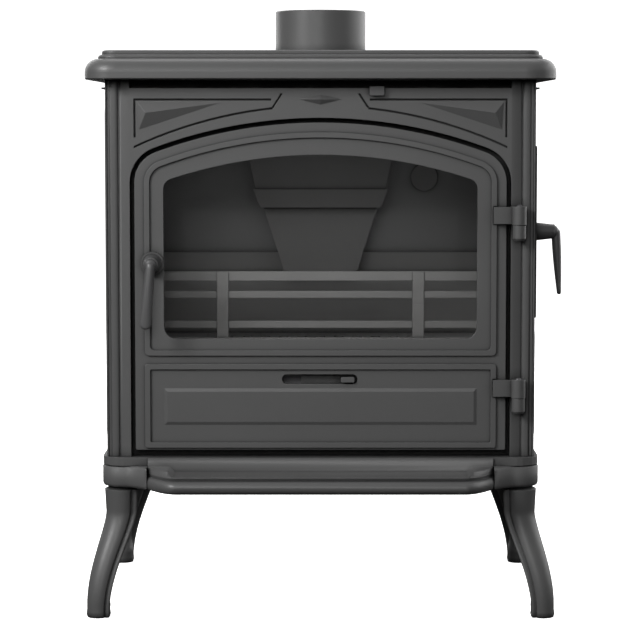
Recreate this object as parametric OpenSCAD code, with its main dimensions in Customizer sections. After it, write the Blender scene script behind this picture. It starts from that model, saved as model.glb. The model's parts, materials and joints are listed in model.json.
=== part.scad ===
// Cast iron wood stove with an arched front door, a side loading door and cabriole legs.
// Millimetres. +X is the stove's right as seen from the front, the front faces -Y, +Z is up.
// The origin is on the floor, under the middle of the stove.

/* [Body] */
// Width over the front columns
body_w = 554; // [530:2:580]
// Depth from the door face to the back
body_d = 352; // [340:2:372]
// Height of the walls' foot above the floor
body_z = 208.8; // [200:0.2:230]
// Height of the walls above the crown of the front plate's opening
brow_h = 49.5; // [46:0.5:60]
// Wall thickness of the castings
wall = 7; // [6:0.5:8]
// Clearance between pieces that lie in or on each other
clear = 0.3; // [0.2:0.05:0.4]

/* [Front plate] */
// Width of each column beside the door opening
column_w = 29.2; // [27:0.2:32]
// Radius of the bead on each column
bead_r = 5.2; // [4:0.2:5.6]
// Air gap between the front plate and the top plate
air_gap = 11; // [9:0.5:14]
// Height of the opening's crown above the walls' foot
crown_h = 442.5; // [430:0.5:448]
// Radius of the opening's arch
arch_r = 623; // [560:1:760]
// Radius of the opening's upper corners
shoulder_r = 48; // [42:1:54]
// Depth of the door seat behind the face
seat_depth = 20; // [19:0.5:24]
// Thickness of the door seat flange
seat_t = 6; // [5:0.5:8]
// Radius of the carved panel's lower curve
carve_r = 575; // [540:1:620]
// Relief of the carved facets
carve_h = 5; // [2:0.5:7]

/* [Side walls] */
// How far the side walls stand out past the columns
side_out = 2.5; // [1.5:0.5:4]
// Reach of the thin lip near the top of each side wall
lip_reach = 6; // [4:0.5:8]

/* [Base] */
// Height of the base ring
ring_h = 40; // [36:1:46]
// How far the base ring stands out past the columns
ring_out = 10; // [8:0.5:12]
// Radius of the base ring's corners in plan
ring_r = 30; // [26:1:34]
// Wall of the base ring
ring_wall = 12; // [10:0.5:14]
// Height of the base ring's upper band
band_h = 11; // [9:0.5:14]

/* [Ash lip] */
// Width of the ash lip
ash_w = 452; // [440:2:470]
// How far the ash lip reaches in front of the door face
ash_out = 74; // [66:1:84]
// Radius of the rolled front edge
roll_r = 8.5; // [7:0.5:9]
// Width of the sunk tray in the ash lip
tray_w = 380; // [350:2:390]

/* [Legs] */
// How far the foot kicks out, along X and along Y
leg_kick = 29.8; // [24:0.2:32]
// Radius of the leg's half-round face at its head
leg_head_r = 23.4; // [21:0.2:24.6]
// Radius of the leg's half-round face at its foot
leg_face_r = 14.6; // [13:0.2:16]
// How far the rim stands out along both edges of the face
leg_rim = 2.6; // [1.5:0.1:3]
// Thickness of the leg behind its axis
leg_back = 9; // [7:0.5:11]
// Reach of the heel behind the foot
heel_r = 19; // [16:0.5:21]
// Diameter of the leg bolts
leg_bolt_d = 8; // [6:1:10]

/* [Top plate] */
// Height of the top plate's edge
top_h = 38; // [34:1:42]
// Overhang past the columns at the sides
top_side = 29.5; // [26:0.5:32]
// Overhang in front of the door face
top_front = 28; // [24:1:34]
// Overhang behind the back wall
top_back = 30; // [24:1:36]
// Radius of the top plate's corners in plan
top_r = 42; // [38:1:50]
// Thickness of the plate inside its moulded edge
top_t = 9; // [7:0.5:11]
// Radius of the edge's large round
ovolo_r = 17.5; // [14:0.5:19]

/* [Flue collar] */
// Outside diameter of the collar
flue_d = 125; // [120:1:130]
// Height of the collar above the top plate
flue_h = 60; // [50:1:80]
// Wall of the collar
flue_wall = 5; // [4:0.5:7]
// Distance of the collar's axis behind the door face
flue_y = 230; // [220:1:240]
// Width of the collar's flange, let into the top plate
flange_w = 14; // [12:0.5:16]
// Thickness of the collar's flange
flange_t = 4; // [3:0.5:5]

/* [Front door] */
// Gap between the door and the opening
door_gap = 6; // [4:0.5:7]
// Gap under the door
door_under = 9; // [7:0.5:11]
// Thickness of the door casting
door_t = 8; // [7:0.5:9]
// Width of the door's side rails beside the glass
stile_w = 37.6; // [36:0.2:42]
// Width of the door's top rail over the glass
top_rail_w = 41.8; // [38:0.2:46]
// Height of the glass opening's lower edge above the door's foot
glass_sill = 145.3; // [140:0.5:152]
// Radius of the glass opening's arch
glass_arch_r = 620; // [560:1:760]
// Radius of the glass opening's upper corners
glass_shoulder_r = 14; // [10:1:18]
// Radius of the glass opening's lower corners
glass_foot_r = 17; // [12:1:22]
// Distance of the two raised borders from the door's edge
border_in = 12.5; // [11:0.5:14]
// Width of the raised borders
border_w = 7; // [5:0.5:9]
// Relief of the raised borders
relief = 2.5; // [1.5:0.25:3]
// Height of the upper border's foot above the door's foot
frame_foot = 124; // [119:0.5:127]
// Height of the lower border's top above the door's foot
border_top = 113; // [108:0.5:116]
// Relief of the ash panel's raised field
field_h_out = 1.5; // [0.5:0.25:2]
// Height of the ash panel's raised field
field_h = 48; // [40:1:54]
// Height of the raised field's foot above the door's foot
field_z = 33; // [29:1:38]
// Thickness of the rope seal, front to back
rope_t = 11.7; // [10:0.1:12]
// Width of the rope seal
rope_w = 8; // [6:0.5:9]

/* [Glass] */
// Thickness of the glass
glass_t = 4; // [3:0.5:5]
// How far the glass passes the opening on each side
glass_lap = 8; // [6:0.5:9]
// Thickness of the seal tape under the glass
tape_t = 1.6; // [1:0.2:2.4]

/* [Front hinges] */
// Radius of the hinge barrels
barrel_r = 9.3; // [8:0.1:9.6]
// Distance of the hinge axis in front of the door face
hinge_fwd = 10; // [9.8:0.1:11]
// Distance of the hinge axis from the opening's edge
hinge_side = 9.9; // [9.6:0.1:11]
// Height of the door's knuckles
door_knuckle_h = 24; // [20:0.5:26]
// Height of the body's knuckles
body_knuckle_h = 20; // [18:0.5:24]
// Height of the lower hinge's seam above the walls' foot
hinge_low = 78; // [70:1:86]
// Height of the upper hinge's seam above the walls' foot
hinge_high = 303.5; // [290:0.5:320]
// Diameter of the hinge pins
pin_d = 8; // [6:0.5:9]
// Radial running clearance of pins and spindles
run_clear = 0.05; // [0.03:0.01:0.09]

/* [Handles] */
// Height of the front handle's spindle above the walls' foot
handle_z = 254; // [240:1:268]
// Distance of the spindle from the door's edge
handle_in = 23.2; // [22:0.2:24]
// Diameter of the spindles
spindle_d = 10; // [8:0.5:10]
// Radius of the handle's stub where it leaves its boss
stub_r = 12; // [10.5:0.5:13]
// Radius of the handle's elbow
elbow_r = 9.5; // [8.5:0.5:10]
// Length of the handle's lever below the spindle
lever_len = 80; // [70:1:90]
// Lean of the lever to one side, in degrees
lever_lean = 4.9; // [0:0.1:8]
// Reach of the front handle's elbow
front_reach = 33; // [28:1:38]
// Reach of the side handle's elbow
side_reach = 23; // [22:0.5:26]
// Thickness of the latch tongues
tongue_t = 6; // [5:0.5:7]
// Gap between a closed tongue and the seat that it holds
tongue_gap = 0.6; // [0.4:0.1:1]

/* [Side door] */
// Height of the side door
side_door_h = 225; // [215:1:235]
// Depth of the side door, front to back
side_door_d = 290; // [280:1:296]
// Height of the side door's foot above the walls' foot
side_door_z = 181; // [174:1:190]
// Distance of the side door's front edge behind the door face
side_door_y = 14; // [12:0.5:18]
// Thickness of the side door
side_door_t = 6; // [5:0.5:7]
// Distance of the side handle's spindle from the door's front edge
side_handle_in = 26; // [24:0.5:30]
// Radius of the side hinge barrels
side_barrel_r = 6; // [5:0.5:7]
// Height of one side hinge knuckle
side_knuckle_h = 18; // [14:1:22]

/* [Air slides] */
// Length of the primary air slot
slot_w = 98.8; // [90:0.2:104]
// Height of the primary air slot
slot_h = 12.7; // [11:0.1:13.5]
// Height of the slot's middle above the door's foot
slot_z = 93; // [90:0.5:95]
// Travel of the primary slide
slot_travel = 25; // [18:1:28]
// Width of the slide's grip
grip_w = 17.8; // [14:0.2:20]
// Sideways place of the air-wash tab
tab_x = 73; // [60:1:90]
// Width of the air-wash tab
tab_w = 19; // [16:0.5:22]
// Length of each air-wash slot
wash_slot_w = 40; // [34:1:44]

/* [Firebox] */
// Height of the fire floor above the walls' foot
floor_z = 125; // [118:1:130]
// Thickness of the fire floor
floor_t = 8; // [6:0.5:9]
// Width of the grate
grate_w = 310; // [280:2:330]
// Depth of the grate
grate_d = 220; // [200:2:230]
// Number of grate bars
grate_bars = 11; // [9:1:12]
// Thickness of the lining plates
lining_t = 10; // [8:0.5:12]
// Height of the left lining above the fire floor
lining_h = 240; // [200:5:250]
// Height of the right lining, under the side door, above the fire floor
low_lining_h = 44; // [30:1:48]
// Height of the rear lining above the fire floor
rear_lining_h = 116; // [100:1:130]
// Height of the roof baffle above the walls' foot
baffle_z = 425; // [418:1:432]
// Thickness of the roof baffle
baffle_t = 12; // [10:1:14]

/* [Log guard] */
// Distance of the log guard behind the door face
guard_y = 60; // [54:1:70]
// Thickness of the log guard
guard_t = 8; // [6:0.5:10]
// Height of the seam between the guards above the walls' foot
guard_seam_h = 196; // [186:1:206]
// How far the lower guard's bar lies under the seam
bar_drop = 32; // [24:1:40]
// Height of the upper guard
guard_rise = 43; // [36:1:54]
// Height of the upper guard's top rail
rail_h = 12; // [10:0.5:15]
// Width of the log guard's posts
post_w = 15; // [12:0.5:18]
// Distance between the posts' middles
post_gap = 260; // [240:2:280]
// Height of a bar
bar_h = 9; // [7:0.5:11]

/* [Throat plates] */
// Width of the hood at its band
hood_w = 203; // [190:1:215]
// Width of the tongue at its foot
throat_foot_w = 109; // [95:1:125]
// Height of the throat's foot above the walls' foot
throat_z = 223; // [215:1:235]
// Distance of the throat plates behind the door face
throat_y = 280; // [270:1:290]
// Thickness of the throat plates
throat_t = 6; // [5:0.5:8]

/* [Ash pan] */
// Width of the ash pan
pan_w = 290; // [260:2:300]
// Depth of the ash pan, front to back
pan_d = 250; // [230:2:260]
// Height of the ash pan
pan_h = 80; // [70:1:84]
// Thickness of the ash pan's sheet
pan_t = 1.5; // [1:0.25:2]

/* [Hidden] */
$fn = 64;

iron = [0.23, 0.23, 0.23];
iron_light = [0.29, 0.29, 0.29];
iron_dark = [0.16, 0.16, 0.16];
steel = [0.42, 0.42, 0.43];
rope_grey = [0.34, 0.33, 0.31];
lining_buff = [0.36, 0.33, 0.29];

// Levels and half widths that several pieces share
eps = 0.01;
half_w = body_w / 2;
face_y = (ash_out - body_d - top_back) / 2;
back_y = face_y + body_d;
body_h = crown_h + brow_h;
wall_top = body_z + body_h;
plate_top = wall_top - air_gap;
side_x = half_w + side_out;
inner_x = side_x - wall;
opening_half = half_w - column_w;
crown_z = body_z + crown_h;

door_half = opening_half - door_gap;
door_foot = body_z + door_under;
door_crown = crown_z - door_gap;
glass_half = door_half - stile_w;
glass_foot = door_foot + glass_sill;
glass_crown = door_crown - top_rail_w;
seat_lap = 12;
rope_in = (seat_lap - rope_w) / 2;
seat_y = face_y + seat_depth;

hinge_x = opening_half + hinge_side;
hinge_y = face_y - hinge_fwd;
knuckle_gap = 0.6;
pin_r = pin_d / 2;
strap_t = 7;
strap_left = door_half - border_in - 4.5;

spindle_r = spindle_d / 2;
spindle_x = -(door_half - handle_in);
spindle_z = body_z + handle_z;
boss_r = 15;
boss_h = 6;
tongue_w = 14;
hub_r = 9;

ring_half = half_w + ring_out;
ring_front = face_y - ring_out;
ring_back = back_y + ring_out;
ring_foot = body_z - ring_h;
band_foot = body_z - band_h;
seam_x = ash_w / 2;
sweep = 20;

rod_r = 4;
rod_nut_r = 1.7 * rod_r;
rod_x = inner_x - 10;
rod_front_y = face_y + 14.5;
rod_back_y = back_y - 14.5;
rod_off = 1.5;
leg_x = rod_x - rod_off;
leg_front_y = rod_front_y + rod_off;
leg_back_y = rod_back_y - rod_off;
bolt_r = leg_bolt_d / 2;
bolt_in = 17;
pad_r = 12;
head_h = 5;

side_pocket = 3;
side_seat_w = 12;
side_edge_gap = 2;
side_y0 = face_y + side_door_y;
side_y1 = side_y0 + side_door_d;
side_z0 = body_z + side_door_z;
side_z1 = side_z0 + side_door_h;
side_plate_x = side_x - side_pocket;
side_face_x = side_plate_x + side_door_t;
side_rope_t = 2.2;
side_seat_x = side_plate_x - side_rope_t - clear;
side_seat_back = side_seat_x - wall;
side_spindle_y = side_y0 + side_handle_in;
side_spindle_z = (side_z0 + side_z1) / 2;
side_hinge_x = side_face_x + side_barrel_r;
side_hinge_y = side_y1 + side_barrel_r;
side_pin_r = 3;
side_leaf_t = 4;

fire_z = body_z + floor_z;
fire_top = fire_z + floor_t;
lining_x = inner_x - 16.5;
ledge_w = 12;
guard_front = face_y + guard_y;
guard_half = lining_x - lining_t - clear;
baffle_foot = body_z + baffle_z;
baffle_front = face_y + 110;

pan_front = face_y + 44;
pan_foot = body_z + 27;
runner_w = 14;

// Points of a circular arc, ends included
function arc(x, y, r, from, to, steps) = [
    for (i = [0:steps])
        let (a = from + (to - from) * i / steps)
            [x + r * cos(a), y + r * sin(a)]
];

// Outline of an arched opening: half width, foot, crown, arch, shoulder and foot radius
function arch_outline(half, foot, crown, r_arch, r_shoulder, r_foot) =
    let (
        cz = crown - r_arch,
        sx = half - r_shoulder,
        sz = cz + sqrt(pow(r_arch - r_shoulder, 2) - sx * sx),
        a = atan2(sz - cz, sx),
        crown_arc = arc(0, cz, r_arch, a, 180 - a, 30)
    )
    concat(
        arc(half - r_foot, foot + r_foot, r_foot, -90, 0, 5),
        arc(sx, sz, r_shoulder, 0, a, 9),
        [for (i = [1:29]) crown_arc[i]],
        arc(-sx, sz, r_shoulder, 180 - a, 180, 9),
        arc(r_foot - half, foot + r_foot, r_foot, 180, 270, 5)
    );

// The door opening's outline, drawn in from its edge, with its own foot
module opening_shape(inset, foot, foot_r = 0.5) {
    polygon(arch_outline(
        opening_half - inset, foot, crown_z - inset,
        arch_r - inset, shoulder_r - inset, foot_r
    ));
}

// The door's outline, drawn in from the door's own edge
module door_shape(inset, foot_r = 2) {
    opening_shape(door_gap + inset, door_foot + inset, foot_r);
}

// The glass opening's outline, grown by a lap
module glass_shape(lap) {
    polygon(arch_outline(
        glass_half + lap, glass_foot - lap, glass_crown + lap,
        glass_arch_r + lap, glass_shoulder_r + lap, glass_foot_r
    ));
}

module rounded_rect(x0, x1, y0, y1, r) {
    polygon(concat(
        arc(x1 - r, y0 + r, r, -90, 0, 6),
        arc(x1 - r, y1 - r, r, 0, 90, 6),
        arc(x0 + r, y1 - r, r, 90, 180, 6),
        arc(x0 + r, y0 + r, r, 180, 270, 6)
    ));
}

// A flat shape drawn in X and Z, standing between two depths
module upright(y0, y1) {
    translate([0, y1, 0])
        rotate([90, 0, 0])
            linear_extrude(y1 - y0)
                children();
}

// A flat shape drawn in Y and Z, standing between two places along X
module sideways(x0, x1) {
    translate([x0, 0, 0])
        rotate([90, 0, 90])
            linear_extrude(x1 - x0)
                children();
}

module block(low, high) {
    translate(low)
        cube(high - low);
}

// A slab whose four edges carry one profile, swept round its corners
module moulded_slab(x0, x1, y0, y1, r, profile, foot, top) {
    block([x0 + r, y0 + r, foot], [x1 - r, y1 - r, top]);
    runs = [
        [x1 - r, y1 - r, 0, y1 - y0 - 2 * r],
        [x0 + r, y1 - r, 90, x1 - x0 - 2 * r],
        [x0 + r, y0 + r, 180, y1 - y0 - 2 * r],
        [x1 - r, y0 + r, 270, x1 - x0 - 2 * r]
    ];
    for (run = runs)
        translate([run[0], run[1], 0])
            rotate([0, 0, run[2]]) {
                rotate([90, 0, 0])
                    linear_extrude(run[3])
                        polygon(profile);
                rotate_extrude(angle = 90)
                    polygon(profile);
            }
}

// A closed skin over rings of equal length, the lowest ring first, each running anticlockwise
module loft(rings) {
    n = len(rings[0]);
    last = (len(rings) - 1) * n;
    polyhedron(
        points = [for (ring = rings) each ring],
        faces = concat(
            [[for (i = [0:n - 1]) i]],
            [for (k = [0:len(rings) - 2], i = [0:n - 1])
                let (j = (i + 1) % n)
                    [k * n + i, (k + 1) * n + i, (k + 1) * n + j, k * n + j]],
            [[for (i = [0:n - 1]) last + n - 1 - i]]
        )
    );
}

// A raised block with sloped sides, its foot in the XZ plane, rising towards -Y
module raised_field(x0, x1, z0, z1, y, rise, slope) {
    points = [
        [x0, y, z0], [x1, y, z0], [x1, y, z1], [x0, y, z1],
        [x0 + slope, y - rise, z0 + slope], [x1 - slope, y - rise, z0 + slope],
        [x1 - slope, y - rise, z1 - slope], [x0 + slope, y - rise, z1 - slope]
    ];
    polyhedron(points, [
        [0, 1, 2, 3], [7, 6, 5, 4],
        [4, 5, 1, 0], [5, 6, 2, 1], [6, 7, 3, 2], [7, 4, 0, 3]
    ]);
}

// Both sides of a mirrored pair
module both_sides() {
    children();
    mirror([1, 0, 0])
        children();
}

// Base and legs

// Half of the ring's outline, from the back to the middle of the front
function ring_half_outline(inset) =
    let (corner_x = ring_half - ring_r)
    concat(
        arc(corner_x, ring_back - ring_r, ring_r - inset, 90, 0, 8),
        arc(corner_x, ring_front + ring_r, ring_r - inset, 0, -90, 8),
        [for (i = [1:8])
            let (t = i / 8)
                [corner_x + (seam_x - corner_x) * t,
                 ring_front - sweep * (1 - cos(90 * t)) + inset]],
        [[seam_x, ring_front]]
    );

// The whole outline at one height, anticlockwise
function ring_outline(inset, z) =
    let (side = ring_half_outline(inset), n = len(side))
    concat(
        [for (p = side) [-p[0], p[1], z]],
        [for (i = [0:n - 1]) [side[n - 1 - i][0], side[n - 1 - i][1], z]]
    );

// The flat bottom plate that the walls stand on; its rim shows as a band round the stove
module base_plate() {
    color(iron)
        difference() {
            translate([0, 0, band_foot])
                linear_extrude(band_h)
                    rounded_rect(
                        1 - ring_half, ring_half - 1,
                        ring_front + 1, ring_back - 1, ring_r - 1
                    );
            at_legs()
                translate([bolt_in, bolt_in, band_foot - 1])
                    cylinder(h = band_h + 2, r = bolt_r + clear);
            rod_holes(band_foot - 1, body_z + 1);
        }
}

// Half of the outline of the space inside the ring, with as many points as the outside has
function hollow_half_outline() =
    let (
        r = pad_r - 4,
        corner_x = ring_half - ring_wall - r,
        front = ring_front + ring_wall
    )
    concat(
        arc(corner_x, ring_back - ring_wall - r, r, 90, 0, 8),
        arc(corner_x, front + r, r, 0, -90, 8),
        [for (i = [1:8]) [corner_x + (seam_x + 6 - corner_x) * i / 8, front]],
        [[seam_x - 6, front]]
    );

// The moulded ring under the bottom plate, hollow, with the heads of the legs in its corners
module base_ring() {
    soft = 5;
    half = hollow_half_outline();
    hollow = concat(
        [for (p = half) [-p[0], p[1]]],
        [for (i = [len(half) - 1:-1:0]) half[i]]
    );
    outside = [
        ring_outline(soft, ring_foot),
        ring_outline(soft * 0.3, ring_foot + soft * 0.3),
        ring_outline(0, ring_foot + soft),
        ring_outline(0, band_foot - soft * 0.6),
        ring_outline(soft * 0.4, band_foot - soft * 0.2),
        ring_outline(soft * 0.8, band_foot)
    ];
    n = len(hollow);
    top = 5 * n;
    inner = 6 * n;
    color(iron)
        polyhedron(
            points = concat(
                [for (ring = outside) each ring],
                [for (z = [ring_foot, band_foot], p = hollow) [p[0], p[1], z]]
            ),
            faces = [
                for (i = [0:n - 1])
                    let (j = (i + 1) % n)
                        each concat(
                            [for (k = [0:n:4 * n]) [k + i, k + n + i, k + n + j, k + j]],
                            [
                                [i, j, inner + j, inner + i],
                                [top + j, top + i, inner + n + i, inner + n + j],
                                [inner + i, inner + j, inner + n + j, inner + n + i]
                            ]
                        )
            ]
        );
}

// Half of the ash lip's outline, from the seam to the start of its straight front
function lip_outline(inset, z) =
    let (
        bend = seam_x - tray_w / 2 + 4,
        reach = ash_out - ring_out - sweep,
        side = [for (i = [0:10])
            let (t = i / 10)
                [seam_x - 0.5 - bend * t, ring_front - sweep - reach * sin(90 * t) + inset]]
    )
    concat(
        [[-seam_x + 0.5, ring_front, z]],
        [for (p = side) [-p[0], p[1], z]],
        [for (i = [0:10]) [side[10 - i][0], side[10 - i][1], z]],
        [[seam_x - 0.5, ring_front, z]]
    );

module ash_lip() {
    roll_z = ring_foot + roll_r;
    tray_z = ring_foot + 22;
    lobe_x = tray_w / 2;
    color(iron)
        difference() {
            union() {
                loft(concat(
                    [for (i = [0:6])
                        let (a = 30 * i - 90)
                            lip_outline(roll_r - roll_r * cos(a) + 0.5, roll_z + roll_r * sin(a))],
                    [
                        lip_outline(roll_r + 2.8, roll_z + roll_r + 0.6),
                        lip_outline(roll_r + 2.8, roll_z + roll_r + 1.4),
                        lip_outline(roll_r + 0.8, tray_z - 1),
                        lip_outline(roll_r + 1.2, tray_z)
                    ]
                ));
                intersection() {
                    loft([
                        lip_outline(roll_r + 1.2, tray_z - 1),
                        lip_outline(roll_r + 2, band_foot - 1),
                        lip_outline(roll_r + 3, band_foot)
                    ]);
                    difference() {
                        block([-seam_x, ring_front - ash_out, tray_z - 1],
                              [seam_x, ring_front, band_foot]);
                        tray_recess(tray_z, lobe_x);
                    }
                }
                sideways(-seam_x + 0.5, seam_x - 0.5)
                    polygon([
                        [ring_front, tray_z - 1],
                        [ring_front, body_z - 0.5],
                        [ring_front - 1, body_z - 0.5],
                        [ring_front - 1.6, tray_z + 2],
                        [ring_front - 3.6, tray_z],
                        [ring_front - 3.6, tray_z - 1]
                    ]);
            }
            block([-lobe_x, ring_front - ash_out + ring_out + 16, ring_foot - 1],
                  [lobe_x, ring_front - 8, tray_z - 8]);
        }
}

// The tray's hollow, with sloped ends
module tray_recess(z, half) {
    upright(ring_front - 2 * ash_out, ring_front + 1)
        polygon([
            [-half, z], [half, z],
            [half + 8, band_foot + 1], [-half - 8, band_foot + 1]
        ]);
}

// Smooth step from 0 to 1
function ease(t) =
    let (s = min(max(t, 0), 1))
        s * s * (3 - 2 * s);

// Reach of the leg's section from its axis, at a height, in a direction turned from its diagonal
function leg_reach(z, turn) =
    let (
        face = leg_face_r + (leg_head_r - leg_face_r) * z / ring_foot + 1.4 * (1 - ease(z / 12)),
        heel = leg_back + (heel_r - leg_back) * (1 - ease(z / (0.26 * ring_foot)))
    )
    turn <= 90 ? face
    : turn < 105 ? face + leg_rim
    : turn < 120 ? (face + heel) / 2
    : heel;

// One ring of the leg, at a height, for the leg whose diagonal points to -X and -Y
function leg_ring(z) =
    let (out = leg_kick * ease(pow(max(0, (0.8 - z / ring_foot) / 0.76), 0.75)))
    [for (i = [0:31])
        let (
            turn = 180 - 11.25 * i,
            r = leg_reach(z, abs(turn)),
            v = r * sin(turn),
            u = r * cos(turn)
        )
            [-(u + v) * sqrt(0.5) - out, (v - u) * sqrt(0.5) - out, z]];

// The leg's head inside the base ring, drawn at the leg's own axis: two facetted bosses, joined
module leg_pad(z0, z1) {
    waist = pad_r - 4;
    outline = [
        for (end = [0, 1]) each concat(
            [for (step = [0:10])
                let (a = 112.5 + 180 * end + 22.5 * step)
                    [bolt_in * end + pad_r * cos(a), bolt_in * end + pad_r * sin(a)]],
            [let (a = -45 + 180 * end)
                [bolt_in / 2 + waist * cos(a), bolt_in / 2 + waist * sin(a)]]
        )
    ];
    translate([0, 0, z0])
        linear_extrude(z1 - z0)
            polygon(outline);
}

module leg() {
    stations = 20;
    difference() {
        union() {
            loft([for (i = [0:stations]) leg_ring(ring_foot * i / stations)]);
            leg_pad(ring_foot - 3, band_foot);
        }
        translate([bolt_in, bolt_in, ring_foot + 5])
            cylinder(h = ring_h, r = bolt_r);
        translate([-rod_off, -rod_off, band_foot - 9])
            cylinder(h = 10, r = rod_nut_r + 0.7);
    }
}

// The frame of one leg: on its axis, with its diagonal towards -X and -Y
module leg_frame(x_side, y_side) {
    translate([x_side * leg_x, y_side < 0 ? leg_front_y : leg_back_y, 0])
        mirror([x_side > 0 ? 1 : 0, 0, 0])
            mirror([0, y_side > 0 ? 1 : 0, 0])
                children();
}

module at_legs() {
    for (x = [-1, 1], y = [-1, 1])
        leg_frame(x, y)
            children();
}

// A leg placed at one corner, mirrored so that its foot kicks outwards
module leg_at(x_side, y_side) {
    color(iron)
        leg_frame(x_side, y_side)
            leg();
}

module leg_front_left() { leg_at(-1, -1); }
module leg_front_right() { leg_at(1, -1); }
module leg_rear_left() { leg_at(-1, 1); }
module leg_rear_right() { leg_at(1, 1); }

module leg_bolts() {
    color(steel)
        at_legs()
            translate([bolt_in, bolt_in, body_z]) {
                cylinder(h = head_h, r = 1.7 * bolt_r, $fn = 6);
                translate([0, 0, 5 - ring_h])
                    cylinder(h = ring_h - 5 + eps, r = bolt_r);
            }
}

// Walls

module rod_holes(z0, z1) {
    for (x = [-rod_x, rod_x], y = [rod_front_y, rod_back_y])
        translate([x, y, z0])
            cylinder(h = z1 - z0, r = rod_r + clear);
}

module tie_rods() {
    nut_h = 6;
    color(steel)
        for (x = [-rod_x, rod_x], y = [rod_front_y, rod_back_y])
            translate([x, y, 0]) {
                translate([0, 0, band_foot - nut_h])
                    cylinder(h = wall_top + 12 - body_z + band_h + nut_h, r = rod_r);
                translate([0, 0, band_foot - nut_h])
                    cylinder(h = nut_h, r = rod_nut_r, $fn = 6);
            }
}

// Carved panel over one shoulder of the arch: grooves round it and a three-sided facet in it
module carved_panel() {
    line_w = 2.5;
    line_d = 2.8;
    left = -opening_half + 5.6;
    right = -64;
    top = plate_top - 13.6;
    foot = top - 50;
    curve_top = crown_z + 17;
    block([left, face_y - 1, foot], [left + line_w, face_y + line_d, top]);
    block([left, face_y - 1, top - line_w], [right, face_y + line_d, top]);
    upright(face_y - 1, face_y + line_d)
        polygon([
            [right + 1, top - 11], [right + 3.2, top - 12],
            [right + 15, top + 6], [right + 12.8, top + 7]
        ]);
    intersection() {
        upright(face_y - 1, face_y + line_d)
            translate([0, curve_top - carve_r])
                difference() {
                    circle(r = carve_r, $fn = 256);
                    circle(r = carve_r - line_w, $fn = 256);
                }
        block([left, face_y - 2, body_z + body_h / 2], [right + 2, face_y + line_d + 1, top]);
    }
}

module carved_facet() {
    seat = face_y + 0.25;
    x0 = -opening_half + 9.4;
    z0 = plate_top - 16.8;
    points = [
        [x0, seat, z0],
        [x0 + 115, seat, z0 - 1],
        [x0 + 2.5, seat, z0 - 38],
        [x0 + 12, face_y - carve_h, z0 - 15]
    ];
    polyhedron(points, [[0, 2, 1], [0, 1, 3], [1, 2, 3], [2, 0, 3]]);
}

// Faceted lozenge at the middle of the frieze
module lozenge() {
    z = plate_top - 14.5;
    half = 30;
    seat = face_y + 0.25;
    points = [
        [-half, seat, z], [0, seat, z + 6.5], [half, seat, z],
        [0, seat, z - 7.5], [0, face_y - carve_h * 0.7, z]
    ];
    polyhedron(points, [
        [0, 3, 2, 1],
        [0, 1, 4], [1, 2, 4], [2, 3, 4], [3, 0, 4]
    ]);
}

module front_plate() {
    recess = 3.6;
    groove = 1.8;
    back_t = 1.6;
    bead_x = half_w - recess - bead_r;
    land_x = bead_x - bead_r - groove;
    color(iron)
        difference() {
            union() {
                upright(face_y, face_y + wall)
                    difference() {
                        translate([-land_x, body_z])
                            square([2 * land_x, plate_top - body_z]);
                        opening_shape(0, body_z - 1);
                    }
                upright(face_y + wall - eps, seat_y + seat_t)
                    intersection() {
                        difference() {
                            opening_shape(-wall, body_z - wall);
                            opening_shape(0, body_z - 1);
                        }
                        translate([-half_w, body_z])
                            square([body_w, body_h]);
                    }
                upright(seat_y, seat_y + seat_t)
                    difference() {
                        intersection() {
                            opening_shape(-1, body_z - 1);
                            translate([-half_w, body_z])
                                square([body_w, body_h]);
                        }
                        door_shape(seat_lap);
                    }
                both_sides() {
                    block([land_x - 1, face_y + back_t, body_z],
                          [half_w, face_y + wall, wall_top]);
                    block([opening_half, face_y, body_z], [land_x, face_y + wall, wall_top]);
                    translate([bead_x, face_y + bead_r - 3.7, body_z])
                        cylinder(h = body_h, r = bead_r);
                    carved_facet();
                }
                lozenge();
            }
            both_sides()
                carved_panel();
        }
}

// One side wall, drawn for the right side
module side_wall() {
    y0 = face_y + wall + clear;
    y1 = back_y;
    field_in = 26;
    union() {
        block([inner_x, y0, body_z], [side_x, y1, wall_top]);
        block([half_w + clear, face_y + 2, body_z], [side_x, y0 + eps, wall_top]);
        block([side_x - 1, y0 + 12, plate_top - 1], [side_x + lip_reach, y1 - 12, plate_top + 1.2]);
        block([inner_x - ledge_w, y0 + 30, fire_z - 10], [inner_x + eps, y1 - 40, fire_z]);
        block([inner_x - 28, baffle_front + 4, baffle_foot - 8],
              [inner_x + eps, y1 - 40, baffle_foot]);
    }
}

module left_panel() {
    margin = 24;
    color(iron)
        mirror([1, 0, 0]) {
            side_wall();
            side_relief(body_z + margin, plate_top - margin);
        }
}

// Flat bordered field on the outside of a side wall
module side_relief(z0, z1) {
    margin = 24;
    y0 = face_y + margin;
    y1 = back_y - margin;
    sideways(side_x - eps, side_x + relief)
        difference() {
            rounded_rect(y0, y1, z0, z1, 10);
            rounded_rect(y0 + 6, y1 - 6, z0 + 6, z1 - 6, 6);
        }
}

module right_panel() {
    color(iron)
        difference() {
            union() {
                side_wall();
                sideways(side_seat_back, inner_x + eps)
                    rounded_rect(
                        side_y0 - side_edge_gap, side_y1 + side_edge_gap,
                        side_z0 - side_edge_gap, side_z1 + side_edge_gap, 8
                    );
                side_relief(body_z + 24, side_z0 - 16);
            }
            sideways(side_seat_x, side_x + 1)
                rounded_rect(
                    side_y0 - side_edge_gap, side_y1 + side_edge_gap,
                    side_z0 - side_edge_gap, side_z1 + side_edge_gap, 6
                );
            sideways(side_seat_back - 1, side_x + 1)
                rounded_rect(
                    side_y0 + side_seat_w, side_y1 - side_seat_w,
                    side_z0 + side_seat_w, side_z1 - side_seat_w, 6
                );
        }
}

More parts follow.
